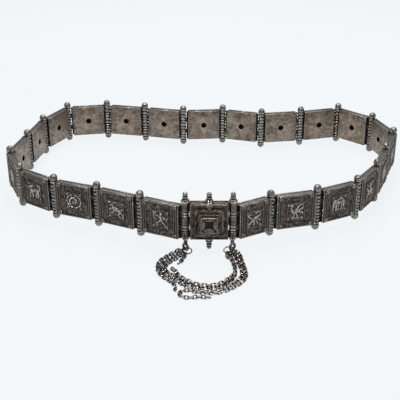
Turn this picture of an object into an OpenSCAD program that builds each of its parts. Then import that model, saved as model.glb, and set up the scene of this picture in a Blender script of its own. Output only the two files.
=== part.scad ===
// Belt of hinged square silver plates, closed by a clasp plate in front.
// It stands on its pins as an oval loop. The clasp faces -Y and the floor is Z = 0.
// A bundle of fine chains runs between two rings at the feet of the clasp pins.
// All lengths are in millimetres and all angles in degrees.

/* [Loop] */
// Distance between the two hinge pins of an ordinary plate
pitch = 32; // [31.5:0.5:33]
// The same distance on the narrow plate to the right of the clasp
narrow_pitch = 28; // [27:0.5:29]
// The same distance on the clasp plate
clasp_pitch = 30; // [29:0.5:31]

/* [Plates] */
// Height of a plate
plate_h = 24; // [22:0.5:25]
// Thickness of a plate between its flat faces
plate_t = 4.6; // [4:0.2:5]
// Thickness of the back sheet and of the front sheet
sheet_t = 1; // [0.6:0.1:1.2]
// How far the box walls lie inside the edges of the two sheets
wall_inset = 0.35; // [0.2:0.05:0.6]
// Open strip beside the hinge that a plate holds with two knuckle groups
wide_gap = 1.3; // [1:0.1:1.6]
// Open strip beside the hinge that a plate holds with three knuckle groups
tight_gap = 0.4; // [0.3:0.1:0.8]
// Diameter of the round hole in the middle of the back sheet
back_hole_d = 4.4; // [3:0.2:6]

/* [Front of a plate] */
// Side of a corner stud
stud_w = 2.8; // [2:0.2:3.4]
// Height of a corner stud above the front sheet
stud_h = 0.9; // [0.4:0.1:1.2]
// Distance of a corner stud from the plate's edges
stud_inset = 0.3; // [0.2:0.1:0.6]
// Width of a raised wire
wire_w = 0.7; // [0.5:0.05:0.9]
// Height of a raised wire above the front sheet
wire_h = 0.5; // [0.3:0.05:0.7]
// Side of the inner square, over its border
square_w = 12.5; // [12:0.5:13.5]
// Height of a cast figure above the front sheet
relief_h = 0.9; // [0.5:0.1:1.2]

/* [Hinges] */
// Diameter of the ribbed hinge column
column_d = 5; // [4.6:0.1:5.2]
// Height of the column above and below the plate's edges
column_proud = 0.4; // [0.2:0.1:0.8]
// Depth of the groove between two ribs
rib_groove = 0.5; // [0.3:0.05:0.55]
// Diameter of a hinge pin
pin_d = 2.2; // [1.8:0.1:2.4]
// Diameter of the domed caps of a hinge pin
cap_d = 5.2; // [5:0.1:5.4]
// Height of a hinge pin over both caps
pin_h = 32.8; // [32:0.2:34]
// Gap between a pin and its knuckles, and between two knuckle groups
run_gap = 0.12; // [0.1:0.02:0.2]

/* [Clasp] */
// Thickness of the clasp plate between its back and its lowest front step
clasp_t = 5.4; // [5:0.2:6]
// Open strip between the clasp plate and its two columns
clasp_gap = 0.4; // [0.3:0.1:0.6]
// Height of the clasp plate
clasp_h = 25.2; // [24:0.2:26]
// How far the clasp plate's foot stands above the feet of the other plates
clasp_lift = 1.4; // [1:0.1:1.8]
// Rise of each step of the clasp's pyramid
step_h = 1.7; // [1:0.1:2]
// Height of the ball finials above the clasp plate
finial_h = 7; // [6.4:0.2:8]
// Height of the finial below the clasp plate
foot_finial_h = 8; // [7:0.1:8.4]
// How far the eyes of the clasp pins reach below the caps of the hinge pins
clasp_drop = 3.9; // [3.5:0.1:4.5]
// Outer diameter of a pin's eye
eye_d = 5.8; // [5.4:0.1:6]
// Thickness of the wire of a pin's eye
eye_wire = 1.7; // [1.5:0.1:1.7]

/* [Rings and chains] */
// Diameter of a ring, to the middle of its wire
ring_d = 6.4; // [6:0.1:6.6]
// Thickness of a ring's wire
ring_wire = 0.8; // [0.7:0.05:0.85]
// Outer width of a chain link
link_w = 2.7; // [2.6:0.05:2.75]
// Thickness of a link's wire
link_wire = 0.58; // [0.5:0.02:0.6]
// Length of a link's hole
link_hole = 2.84; // [2.78:0.01:2.9]
// Distance between the middles of two links that follow each other, about
link_pitch = 2.52; // [2.48:0.01:2.56]

/* [Hidden] */
$fn = 48;

// Turn at each hinge, in whole degrees, starting from the clasp. The first one turns away from the
// clasp's own line, and the two plates at the back of the belt close the loop.
left_bends = [24, 1, -4, 14, 32, 35, 0, 16, 53, 20, 2];
right_bends = [29, -14, 12, 29, 12, 1, 40, 29, 56, -6];
plates = 23;
hinges = 22;
chain_count = 6;
narrow_plate = 23;
back_plate = 13;

// Middle of the whole object's box, measured from the middle of the clasp's hinge line
box_middle = [-0.8, 64.3];

column_h = plate_h + 2 * column_proud;
plate_z = (pin_h - plate_h) / 2;
column_z = plate_z - column_proud;
// The hinge columns at the clasp are centred on the clasp plate, so they stand higher than the others
sleeve_lift = (clasp_h - plate_h) / 2;
hinge_lift = clasp_lift + sleeve_lift;
// Knuckle groups of a hinge column from its foot up: their share of its height, and the ribs in each
group_share = [0.2, 0.17, 0.22, 0.17, 0.24];
group_ribs = 2;
outer_groups = [0, 2, 4];
inner_groups = [1, 3];
neck_t = 2.8;
sleeve_inset = 0.1;
body_front = plate_t / 2;
sunk = 0.3;

function sum_to(list, n) = n == 0 ? 0 : list[n - 1] + sum_to(list, n - 1);
function group_foot(g) = column_z - plate_z + column_h * sum_to(group_share, g) + run_gap / 2;
function group_height(g) = column_h * group_share[g] - run_gap;
function unit(v) = v / norm(v);
function along(angle) = [cos(angle), sin(angle)];

// Hinge points of one side of the belt, walked from the clasp's pin with one turn at each point
function walk(from, angle, bends, sign, first_length, k = 0) =
    k == len(bends) ? [from] :
    let(turned = angle + sign * bends[k],
        length = k == 0 ? first_length : pitch)
    concat([from], walk(from + length * along(turned), turned, bends, sign, first_length, k + 1));

left_side = walk([-clasp_pitch / 2, 0], 180, left_bends, -1, pitch);
right_side = walk([clasp_pitch / 2, 0], 0, right_bends, 1, narrow_pitch);

// The hinge between the two back plates, one pitch from each side's last hinge
function elbow(a, b) =
    let(half = norm(b - a) / 2,
        dir = unit(b - a))
    (a + b) / 2 + sqrt(pow(pitch, 2) - pow(half, 2)) * [-dir.y, dir.x];

left_end = left_side[len(left_side) - 1];
right_end = right_side[len(right_side) - 1];
// All 24 hinge points, clockwise from above, from the clasp's left to its right
points = concat(left_side, [elbow(left_end, right_end)],
    [for (i = [len(right_side) - 1:-1:0]) right_side[i]]);

// The belt leans back a little, because the eyes of the clasp pins lift its front
lean = asin(clasp_drop / max([for (p = points) p.y]));

function number(k) = str(k < 10 ? "0" : "", k);

// Cast figures, drawn as strokes on an inner square of this side and seen from outside the belt.
// Columns: start x, start y, start width, end x, end y, end width.
drawn_square_w = 13;
lion = [
    [-2.6, 0.9, 3.4, 2.6, 0.5, 3.0],
    [-3.0, 1.9, 3.8, -3.4, 2.4, 3.0],
    [-4.0, 2.6, 2.4, -5.1, 2.0, 1.5],
    [-3.0, 0.0, 1.6, -4.3, -3.4, 1.1],
    [-4.3, -4.0, 1.1, -5.2, -4.2, 0.9],
    [-2.0, 0.0, 1.6, -1.4, -3.9, 1.0],
    [2.7, 0.0, 2.5, 3.7, -1.9, 1.6],
    [3.7, -1.9, 1.5, 2.9, -4.2, 1.0],
    [2.2, -0.6, 1.8, 1.4, -4.1, 1.0],
    [3.8, 1.2, 1.1, 5.0, 2.7, 0.9],
    [5.0, 2.7, 0.9, 4.3, 4.4, 1.0],
    [4.3, 4.4, 1.0, 3.2, 4.6, 1.4]];
deer = [
    [-1.4, 0.8, 2.6, 2.4, -0.8, 2.8],
    [-1.8, 1.2, 2.1, -2.9, 3.2, 1.3],
    [-2.9, 3.3, 1.5, -4.4, 2.6, 0.9],
    [-2.6, 3.7, 0.8, -1.6, 5.0, 0.6],
    [-1.6, 5.0, 0.7, 0.4, 4.9, 0.6],
    [-0.9, 4.9, 0.6, -0.4, 3.8, 0.5],
    [-1.9, 0.2, 1.4, -4.0, 0.6, 0.9],
    [-4.0, 0.6, 0.9, -4.9, -0.8, 0.8],
    [-1.2, -0.2, 1.3, -2.6, -2.2, 0.9],
    [-2.6, -2.2, 0.9, -4.2, -2.6, 0.8],
    [2.6, -1.2, 2.2, 1.6, -3.2, 1.3],
    [1.6, -3.2, 1.1, 2.8, -5.0, 0.9],
    [3.2, -1.4, 1.7, 4.5, -3.2, 1.0],
    [4.5, -3.2, 1.0, 4.2, -5.0, 0.9],
    [3.4, 0.0, 1.0, 4.6, 1.2, 0.8]];
bird = [
    [-0.6, -0.4, 3.2, 2.2, 0.6, 2.2],
    [-1.8, 0.2, 2.0, -3.0, 2.6, 1.2],
    [-3.0, 2.6, 1.2, -2.0, 4.2, 1.2],
    [-2.0, 4.3, 1.5, -3.6, 4.6, 0.6],
    [0.4, 0.8, 1.8, 2.4, 3.8, 1.0],
    [2.4, 3.8, 1.0, 4.2, 4.8, 0.8],
    [2.4, 0.8, 1.4, 4.6, 1.8, 1.2],
    [4.6, 1.8, 1.2, 5.0, 3.2, 0.8],
    [2.6, -0.2, 1.3, 4.8, -0.8, 1.0],
    [4.8, -0.8, 1.0, 5.0, -2.2, 0.8],
    [-0.6, -1.8, 1.1, -1.4, -4.2, 0.8],
    [0.8, -1.6, 1.1, 1.4, -4.2, 0.8],
    [-2.4, -4.5, 0.8, 2.6, -4.5, 0.8]];
elephant = [
    [-1.4, 1.0, 4.4, 2.2, 1.0, 4.2],
    [-3.4, 1.8, 3.2, -3.8, 1.0, 2.4],
    [-4.4, 0.4, 1.4, -4.6, -2.4, 1.0],
    [-4.6, -2.4, 1.0, -5.2, -3.8, 0.8],
    [-3.0, -0.2, 0.8, -3.6, -2.0, 0.6],
    [-2.4, -0.6, 1.8, -2.4, -4.2, 1.5],
    [-0.7, -0.6, 1.6, -0.6, -4.2, 1.4],
    [1.5, -0.4, 1.8, 1.4, -4.2, 1.4],
    [3.1, -0.2, 2.0, 3.3, -4.2, 1.5],
    [4.2, 1.4, 0.9, 5.0, -0.8, 0.7],
    [-0.2, 3.4, 1.8, 1.8, 3.4, 1.6],
    [0.8, 4.2, 1.4, 0.8, 5.0, 1.0]];
archer = [
    [0.4, 3.8, 2.0, 0.4, 3.4, 1.8],
    [0.2, 2.2, 2.4, 0.6, -0.4, 2.0],
    [-0.6, 2.2, 1.1, -3.4, 2.4, 0.9],
    [1.0, 2.2, 1.1, 3.0, 1.0, 0.9],
    [3.0, 1.0, 0.9, 1.4, 0.2, 0.8],
    [0.0, -0.8, 1.5, -2.0, -2.4, 1.1],
    [-2.0, -2.4, 1.1, -2.2, -4.8, 0.9],
    [1.0, -0.8, 1.5, 2.4, -2.6, 1.1],
    [2.4, -2.6, 1.1, 4.0, -4.6, 0.9],
    [-2.6, 5.0, 0.7, -4.2, 3.6, 0.8],
    [-4.2, 3.6, 0.8, -4.6, 1.6, 0.8],
    [-4.6, 1.6, 0.8, -3.2, -0.4, 0.7],
    [3.6, -0.6, 0.8, 4.8, 1.8, 0.8]];
scorpion = [
    [-1.2, -0.6, 2.4, 1.4, 0.8, 2.2],
    [-1.8, 0.6, 1.2, -4.2, 2.4, 0.9],
    [-4.2, 2.4, 0.9, -5.0, 4.0, 0.8],
    [-4.2, 2.4, 0.9, -3.2, 4.4, 0.8],
    [-1.8, -1.2, 1.2, -3.6, -2.6, 0.9],
    [-3.6, -2.6, 0.9, -5.0, -2.0, 0.8],
    [-3.6, -2.6, 0.9, -4.0, -4.4, 0.8],
    [0.0, -1.2, 1.0, -0.4, -4.0, 0.8],
    [1.2, -0.4, 1.0, 2.4, -3.4, 0.8],
    [2.2, 0.4, 1.0, 4.4, -1.6, 0.8],
    [1.6, 1.2, 1.6, 3.8, 2.0, 1.2],
    [3.8, 2.0, 1.2, 4.4, 4.0, 1.0],
    [4.4, 4.0, 1.0, 2.6, 5.0, 0.9],
    [2.6, 5.0, 0.9, 1.0, 4.0, 1.3]];
rider = [
    [-1.8, -0.8, 2.4, 2.0, -0.8, 2.4],
    [-2.4, -0.2, 1.6, -3.8, 1.6, 1.2],
    [-3.8, 1.6, 1.4, -5.0, 0.6, 0.9],
    [-2.2, -1.6, 1.2, -3.6, -4.4, 0.8],
    [-1.2, -1.8, 1.1, -0.4, -4.6, 0.8],
    [1.8, -1.6, 1.3, 1.0, -4.6, 0.8],
    [2.8, -1.4, 1.3, 4.0, -4.4, 0.8],
    [3.0, -0.2, 0.9, 4.8, -1.6, 0.8],
    [0.2, 0.4, 1.6, 0.0, 2.6, 1.8],
    [0.0, 4.0, 1.6, 0.0, 3.8, 1.6],
    [-0.6, 2.2, 0.8, -2.6, 3.0, 0.7],
    [0.8, 2.4, 0.8, 3.0, 4.6, 0.7],
    [3.0, 4.6, 0.7, 4.6, 3.2, 0.7]];
// A coiled creature in an oval: the oval and the coil are worked out, the head and tail are added
function turn_point(a, rx, ry) = [rx * cos(a), ry * sin(a)];
function ring_strokes(rx, ry, n, w) = [for (i = [0:n - 1])
    let(a = turn_point(i * 360 / n, rx, ry),
        b = turn_point((i + 1) * 360 / n, rx, ry))
    [a.x, a.y, w, b.x, b.y, w]];
function coil_strokes(r0, r1, from, to, n, w0, w1) = [for (i = [0:n - 1])
    let(u = i / n,
        v = (i + 1) / n,
        a = turn_point(from + (to - from) * u, r0 + (r1 - r0) * u, r0 + (r1 - r0) * u),
        b = turn_point(from + (to - from) * v, r0 + (r1 - r0) * v, r0 + (r1 - r0) * v))
    [a.x, a.y, w0 + (w1 - w0) * u, b.x, b.y, w0 + (w1 - w0) * v]];
coiled = concat(ring_strokes(5, 4.6, 14, 0.8), coil_strokes(3.1, 1.0, 200, -170, 9, 1.5, 0.9), [
    [-3.0, -0.9, 1.5, -2.2, -2.6, 1.0],
    [0.2, 0.2, 1.0, 0.2, -0.8, 0.8]]);
figures = [lion, deer, bird, elephant, archer, scorpion, rider, coiled];
// Which figure each plate carries, from plate 1 to plate 23
figure_of = [4, 1, 7, 0, 3, 2, 5, 1, 6, 0, 2, 3, 7, 1, 4, 5, 0, 2, 3, 6, 3, 2, 5];

// Two dimensional stroke with round ends, its sides a little inside the circles' tangents
module stroke(s) {
    a = [s[0], s[1]];
    b = [s[3], s[4]];
    side = 0.48 * [-(b - a).y, (b - a).x] / norm(b - a);
    translate(a) circle(d = s[2], $fn = 24);
    translate(b) circle(d = s[5], $fn = 24);
    polygon([a + side * s[2], b + side * s[5], b - side * s[5], a - side * s[2]]);
}

// Puts a flat drawing upright on the front of a plate, seen the right way round from outside
module on_front(x, z, y) {
    translate([x, y, z]) rotate([90, 0, 180]) children();
}

module figure(strokes, x, y) {
    on_front(x, plate_h / 2, y - sunk) linear_extrude(relief_h + sunk) scale(square_w / drawn_square_w)
        for (s = strokes) stroke(s);
}

// Bars and studs stand on the front sheet and are sunk into it a little
module raised_box(x, z, w, h, rise, y) {
    translate([x, y - sunk, z]) cube([w, rise + sunk, h]);
}

module square_border(x, z, w, bar, rise, y) {
    difference() {
        raised_box(x - w / 2, z - w / 2, w, w, rise, y);
        translate([x - w / 2 + bar, y, z - w / 2 + bar])
            cube([w - 2 * bar, rise + 1, w - 2 * bar]);
    }
}

// Corner studs, two wires up each side between them, one along the top and bottom, and the square
module front_frame(x0, x1) {
    y = body_front;
    stud_far = stud_inset + stud_w;
    wire_inset = stud_inset + 0.3;
    wire_step = 1.4;
    lap = 0.2;
    up = plate_h - 2 * stud_far + 2 * lap;
    across = x1 - x0 - 2 * stud_far + 2 * lap;
    for (x = [x0 + stud_inset, x1 - stud_far], z = [stud_inset, plate_h - stud_far])
        raised_box(x, z, stud_w, stud_w, stud_h, y);
    for (d = [wire_inset, wire_inset + wire_step], x = [x0 + d, x1 - d - wire_w])
        raised_box(x, stud_far - lap, wire_w, up, wire_h, y);
    for (z = [wire_inset, plate_h - wire_inset - wire_w])
        raised_box(x0 + stud_far - lap, z, across, wire_w, wire_h, y);
    square_border((x0 + x1) / 2, plate_h / 2, square_w, wire_w, wire_h + 0.1, y);
}

// Box of a plate: back sheet, walls and front sheet, which show as layers at the edges. Where a beaded
// wire edges the front sheet, the sheet ends in the middle of that wire.
module plate_body(x0, x1, front, h, near_inset = 0, far_inset = 0) {
    back = -plate_t / 2;
    translate([x0, back, 0]) cube([x1 - x0, sheet_t, h]);
    translate([x0 + wall_inset, back + sheet_t / 2, wall_inset])
        cube([x1 - x0 - 2 * wall_inset, front - back - sheet_t, h - 2 * wall_inset]);
    translate([x0 + near_inset, front - sheet_t, 0])
        cube([x1 - x0 - near_inset - far_inset, sheet_t, h]);
}

// Beaded wires beside the hinge columns. One edges the front sheet at the wide strip. The other one
// edges a curved cover that carries the front sheet on over the column, just clear of its ribs.
edge_wire_d = 1.1;
wire_end = 0.2;
cover_gap = 0.15;
cover_r = column_d / 2 + cover_gap + edge_wire_d / 2;
cover_t = 0.6;
cover_from = 120;
cover_to = 150;

module edge_wire(x, y) {
    translate([x, y, wire_end]) cylinder(d = edge_wire_d, h = plate_h - 2 * wire_end, $fn = 16);
}

// The cover at a far hinge, whose pin stands on the origin
module column_cover() {
    step = 10;
    turns = [for (a = [cover_from:step:cover_to]) a];
    lap_x = column_d / 2 - 0.05;
    translate([0, 0, wire_end]) linear_extrude(plate_h - 2 * wire_end) polygon(concat(
        [for (a = turns) (cover_r + cover_t / 2) * along(a)],
        [for (i = [len(turns) - 1:-1:0]) (cover_r - cover_t / 2) * along(turns[i])]));
    translate([-lap_x - tight_gap - sunk, body_front - sheet_t, 0])
        cube([tight_gap + sunk, sheet_t, plate_h]);
    edge_wire(cover_r * cos(cover_from), cover_r * sin(cover_from));
}

// Narrow web at mid thickness that closes the strip beside a hinge column, nearly up to the ribs
web_gap = 0.25;
web_t = 1.6;

module web(gap, z = wall_inset, h = plate_h - 2 * wall_inset) {
    translate([column_d / 2 + web_gap, -web_t / 2, z])
        cube([gap - web_gap + wall_inset + sunk, web_t, h]);
}

// One knuckle group: ribs round the pin, and a neck to the plate when it has one
function rib_profile(n, h) = concat([[0, 0]],
    [for (i = [0:n - 1], c = [[0, rib_groove], [0.3, 0], [0.7, 0], [1, rib_groove]])
        [column_d / 2 - c[1], (i + c[0]) * h / n]], [[0, h]]);

module knuckle(group, reach) {
    z = group_foot(group);
    h = group_height(group);
    translate([0, 0, z]) rotate_extrude() polygon(rib_profile(group_ribs, h));
    neck(reach, z, h);
}

// Neck from a knuckle to the plate's wall
module neck(reach, z, h) {
    low = max(z + rib_groove, wall_inset);
    high = min(z + h - rib_groove, plate_h - wall_inset);
    translate([0, -neck_t / 2, low]) cube([reach, neck_t, high - low]);
}

module knuckles(groups, x, reach, turn) {
    translate([x, 0, 0]) rotate([0, 0, turn]) for (g = groups) knuckle(g, reach);
}

// A whole ordinary plate. Its x axis runs from its hinge nearer the clasp to the farther one, and its
// front faces +Y. The plate holds two knuckle groups at the near hinge and three at the far one.
module plate_shape(k) {
    length = plate_length(k);
    near_gap = wide_gap;
    near_lift = k == 1 || k == plates ? hinge_lift : 0;
    far_gap = k == back_plate ? wide_gap : tight_gap;
    x0 = column_d / 2 + near_gap;
    x1 = length - column_d / 2 - far_gap;
    far_groups = k == back_plate ? inner_groups : outer_groups;
    edge = edge_wire_d / 2;
    far_edge = k == back_plate ? edge : 0;
    difference() {
        union() {
            plate_body(x0, x1, body_front, plate_h, edge, far_edge);
            front_frame(x0 + 2 * edge, x1 - 2 * far_edge);
            edge_wire(x0 + edge, body_front - edge);
            web(near_gap);
            if (k == back_plate) {
                edge_wire(x1 - edge, body_front - edge);
                translate([length, 0, 0]) rotate([0, 0, 180]) web(far_gap);
            }
            else translate([length, 0, 0]) column_cover();
            translate([(x0 + x1) / 2, 0, 0]) mirror([k > back_plate ? 1 : 0, 0, 0])
                figure(figures[figure_of[k - 1]], 0, body_front);
            translate([0, 0, near_lift]) knuckles(inner_groups, 0, x0 + wall_inset + sunk, 0);
            knuckles(far_groups, length, column_d / 2 + far_gap + wall_inset + sunk, 180);
        }
        for (x = [0, length]) translate([x, 0, -2]) cylinder(d = pin_d + 2 * run_gap, h = plate_h + 4);
        translate([(x0 + x1) / 2, -plate_t / 2 - 1, plate_h / 2]) rotate([-90, 0, 0])
            cylinder(d = back_hole_d, h = 1 + sheet_t * 0.9);
    }
}

function plate_length(k) = k == narrow_plate ? narrow_pitch : pitch;

// Everything of the belt stands in one leaning frame, set on the floor by the clasp's eyes
module standing() {
    translate([-box_middle.x, -box_middle.y, clasp_drop]) rotate([-lean, 0, 0]) children();
}

// Plates left of the back plate walk away from the clasp clockwise. The ones on the right do so
// the other way, so they are built from their far hinge and their x axis is mirrored.
module link_plate(k) {
    from = points[k - 1];
    to = points[k];
    dir = to - from;
    angle = atan2(dir.y, dir.x);
    color("dimgray") standing() translate([from.x, from.y, plate_z]) rotate([0, 0, angle])
        if (k <= back_plate) plate_shape(k);
        else translate([norm(dir), 0, 0]) mirror([1, 0, 0]) plate_shape(k);
}

// Dome and collar of a hinge pin's cap, standing on z = 0
module cap() {
    collar_h = 0.9;
    groove_h = 0.35;
    dome_z = (pin_h - column_h) / 2 - run_gap - cap_d / 2;
    cylinder(d = cap_d, h = collar_h);
    translate([0, 0, collar_h - sunk]) cylinder(d = cap_d - 2 * rib_groove, h = groove_h + 2 * sunk);
    translate([0, 0, dome_z]) intersection() {
        sphere(d = cap_d);
        translate([0, 0, collar_h + groove_h - dome_z]) cylinder(d = cap_d + 1, h = cap_d);
    }
}

module pin_shaft(z0, z1) {
    translate([0, 0, z0]) cylinder(d = pin_d, h = z1 - z0);
}

module hinge_pin(k) {
    top = column_z + column_h + run_gap;
    foot = column_z - run_gap;
    color("gray") standing() translate([points[k].x, points[k].y, 0]) {
        pin_shaft(foot - sunk, top + sunk);
        translate([0, 0, top]) cap();
        translate([0, 0, foot]) mirror([0, 0, 1]) cap();
    }
}

// Turned finial of height h: a stepped cone, a collar and a ball. It stands on z = 0.
module finial(base_d, neck_d, ball_d, h) {
    ball_z = h - ball_d / 2;
    cone_h = ball_z - ball_d / 2 - 0.4;
    rotate_extrude() polygon([[0, -sunk], [base_d / 2, -sunk], [base_d / 2, cone_h * 0.25],
        [base_d / 2 - 0.4, cone_h * 0.3], [base_d / 2 - 0.5, cone_h * 0.55],
        [neck_d / 2 + 0.3, cone_h * 0.65], [neck_d / 2, cone_h], [neck_d / 2 + 0.3, cone_h + 0.1],
        [neck_d / 2 + 0.3, cone_h + 0.6], [neck_d / 2 - 0.3, cone_h + 0.8], [0, cone_h + 0.8]]);
    translate([0, 0, ball_z]) sphere(d = ball_d);
}

// Front of the clasp plate: two lobed steps and a square boss, hollowed to a four pointed star
outer_step_w = 19;
inner_step_w = 14;
boss_w = 10.8;
boss_h = step_h * 1.1;
boss_top = 2 * step_h + boss_h;

// Square with two broad round lobes on each side and a small one on each corner
module lobed_square(w) {
    lobe_d = w * 0.36;
    lobe_x = w * 0.19;
    corner_d = w * 0.18;
    corner_x = w * 0.405;
    square(w * 0.94, center = true);
    for (a = [0:90:270]) rotate(a) {
        for (side = [-1, 1]) translate([side * lobe_x, (w - lobe_d) / 2]) circle(d = lobe_d, $fn = 32);
        translate([corner_x, corner_x]) circle(d = corner_d, $fn = 24);
    }
}

module clasp_steps(y) {
    z = clasp_h / 2;
    on_front(0, z, y - sunk) linear_extrude(step_h + sunk) lobed_square(outer_step_w);
    on_front(0, z, y + step_h - sunk) linear_extrude(step_h + sunk) lobed_square(inner_step_w);
    raised_box(-boss_w / 2, z - boss_w / 2, boss_w, boss_w, boss_h, y + 2 * step_h);
}

// A square less a broad disc at each side leaves a star whose points run out to the corners
module star_hollow(y) {
    star_w = boss_w - 2;
    star_depth = 0.9;
    side_r = 5.8;
    side_bulge = 1.75;
    top = y + boss_top;
    on_front(0, clasp_h / 2, top - star_depth) linear_extrude(2 * star_depth) difference() {
        square(star_w, center = true);
        for (a = [0:90:270]) rotate(a) translate([star_w / 2 + side_r - side_bulge, 0]) circle(r = side_r);
    }
}

// Plain sleeves of the clasp round its two pins, in the same groups as a plate's far knuckles
module sleeves(x, reach, turn) {
    translate([x, 0, 0]) rotate([0, 0, turn]) for (g = outer_groups) {
        z = group_foot(g);
        h = group_height(g);
        translate([0, 0, z]) cylinder(d = column_d - 2 * sleeve_inset, h = h);
        neck(reach, z, h);
    }
}

module clasp_plate() {
    half = clasp_pitch / 2;
    edge = half - column_d / 2 - clasp_gap;
    front = clasp_t - plate_t / 2;
    rim = clasp_h - 2 * stud_inset;
    finial_y = 0.4;
    color("dimgray") standing() translate([0, 0, plate_z + clasp_lift]) rotate([0, 0, 180]) difference() {
        union() {
            plate_body(-edge, edge, front, clasp_h);
            clasp_steps(front);
            for (x = [-edge + stud_inset, edge - stud_inset - wire_w])
                raised_box(x, stud_inset, wire_w, rim, wire_h, front);
            for (z = [stud_inset, clasp_h - stud_inset - wire_w])
                raised_box(-edge + stud_inset, z, 2 * edge - 2 * stud_inset, wire_w, wire_h, front);
            for (side = [-1, 1]) {
                translate([0, 0, sleeve_lift])
                    sleeves(side * half, half - edge + wall_inset + sunk, side > 0 ? 180 : 0);
                // beside the lower knuckle on one side the strip stays open
                low = side > 0 ? wall_inset : sleeve_lift + group_foot(2);
                translate([side * half, 0, 0]) rotate([0, 0, side > 0 ? 180 : 0])
                    web(clasp_gap, low, clasp_h - wall_inset - low);
            }
            translate([0, finial_y, clasp_h]) finial(5.8, 3, 3.5, finial_h);
            translate([0, finial_y, 0]) mirror([0, 0, 1]) finial(5.4, 3, 3.4, foot_finial_h);
        }
        star_hollow(front);
        for (side = [-1, 1]) translate([side * half, 0, -2])
            cylinder(d = pin_d + 2 * run_gap, h = clasp_h + 4);
    }
}

// Clasp pin: ball finial above, shaft, short neck and an eye that carries the ring. The left eye is
// turned a little from its ring's own line.
eye_middle_z = eye_d / 2 - clasp_drop;
left_eye_turn = 30;

module clasp_pin(side) {
    top = column_z + hinge_lift + column_h + run_gap;
    foot = column_z + hinge_lift - run_gap;
    place = side < 0 ? points[0] : points[len(points) - 1];
    middle = side < 0 ? left_ring : right_ring;
    eye_r = (eye_d - eye_wire) / 2;
    disc_h = 1.1;
    color("gray") standing() translate([place.x, place.y, 0]) {
        pin_shaft(foot - sunk, top + sunk);
        translate([0, 0, top + sunk])
            finial(5.6, 3, 3.3, finial_h + sleeve_lift - column_proud - run_gap - sunk);
        translate([0, 0, foot - disc_h]) cylinder(d = 2 * pin_d, h = disc_h);
        translate([0, 0, eye_middle_z + eye_r])
            cylinder(d = 1.5 * eye_wire, h = foot - disc_h / 2 - eye_middle_z - eye_r);
        translate([0, 0, eye_middle_z])
            rotate([90, 0, ring_angle(middle, place) + (side < 0 ? left_eye_turn : 0)])
            rotate_extrude() translate([eye_r, 0]) circle(d = eye_wire);
    }
}

// Rings: where their middles lie, measured from the middle of the clasp's hinge line
left_ring = [-14.2, -3];
right_ring = [12.6, -2];
ring_r = ring_d / 2;
ring_back_z = eye_wire + ring_wire / 2 + 0.25;
ring_front_z = ring_wire / 2 + link_wire + 0.25;
ring_tilt = asin((ring_back_z - ring_front_z) / ring_d);
ring_z = (ring_back_z + ring_front_z) / 2;

function ring_angle(middle, pin) = atan2(pin.y - middle.y, pin.x - middle.x);

module ring(middle, pin) {
    color("gray") translate([middle.x - box_middle.x, middle.y - box_middle.y, ring_z])
        rotate([0, 0, ring_angle(middle, pin)]) rotate([0, -ring_tilt, 0])
        rotate_extrude() translate([ring_r, 0]) circle(d = ring_wire);
}

// Ways of the chains over the floor, x and y of each point from the middle of the clasp's hinge line.
// Two strands run from ring to ring. The others are broken, so each has a free end. The last one lies
// on the inner whole strand as far as the left bend.
outer_way = [[-21, -8.4], [-24.6, -12], [-27.8, -16], [-29.6, -20.4], [-29.4, -25], [-27.4, -29.4],
    [-24, -32.9], [-20.4, -36.4], [-17, -40.2], [-13, -44], [-8, -46.6], [-1.8, -48], [4, -47.2],
    [9.3, -44.6], [13.9, -40.6], [17.6, -36.2], [19.8, -31.8], [20, -27], [18.9, -20], [17.7, -13.4],
    [16.8, -9.5]];
inner_way = [[-19.4, -10.4], [-22.6, -13.4], [-25.6, -17.2], [-27.2, -20.8], [-27, -24.4], [-25.4, -28],
    [-22.2, -31.2], [-18.7, -34.6], [-15.4, -38.2], [-12, -41.6], [-7.4, -44.2], [-1.8, -45.6],
    [3.2, -44.8], [7.8, -42.2], [11.4, -38.6], [14.2, -34.4], [15.6, -30.4], [15.9, -26], [15.3, -20],
    [14.7, -14], [14.1, -10]];
left_tail = [[-21.8, -4], [-24.6, -6.6], [-28, -10.6], [-31, -15], [-32, -20], [-31.8, -25.2],
    [-29.8, -30.4], [-26.4, -34.8], [-23, -38.4], [-21, -42], [-20.4, -47]];
right_tail = [[18.8, -5], [19.7, -8.6], [20.4, -13], [21.4, -20], [22.4, -27], [22.2, -32.6],
    [19.8, -38], [15.6, -43], [10.4, -47], [4.6, -49.8], [-1.6, -50.4], [-8, -49], [-12.6, -47],
    [-16, -47.8], [-18, -50.8], [-16.2, -54], [-11.4, -54.8], [-6, -54], [0, -54.8]];
short_tail = [[-16.2, -11.2], [-17.4, -14.4], [-19.2, -17.6]];
upper_z = 3.55;
upper_tail = concat([[11.2, -9.8, 1.8], [11.9, -13.2, 3.1], [13.8, -17, upper_z]],
    [for (i = [18:-1:7]) [inner_way[i].x, inner_way[i].y, upper_z]],
    [[-20.2, -31.8, upper_z], [-20.6, -28.8, 3], [-21.6, -26, 1.5], [-23.2, -23.2, 1.2]]);
strand_ways = [outer_way, inner_way, left_tail, right_tail, short_tail, upper_tail];
// Angle on the left ring, and on the right ring, at which each of them hangs. A free end has none.
left_hooks = [202, 230, 174, undef, 258, undef];
right_hooks = [-48, -76, undef, -20, undef, -104];
chain_z = 1.2;
hook_gap = 0.3;

function catmull(a, b, c, d, t) = 0.5 * (2 * b + (c - a) * t + (2 * a - 5 * b + 4 * c - d) * pow(t, 2)
    + (3 * b - a - 3 * c + d) * pow(t, 3));
// Point at share u of an open smooth curve through a list of points
function curve_at(list, u) =
    let(n = len(list) - 1,
        x = min(max(u, 0), 1) * n,
        i = min(floor(x), n - 1))
    catmull(list[max(i - 1, 0)], list[i], list[i + 1], list[min(i + 2, n)], x - i);

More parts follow.
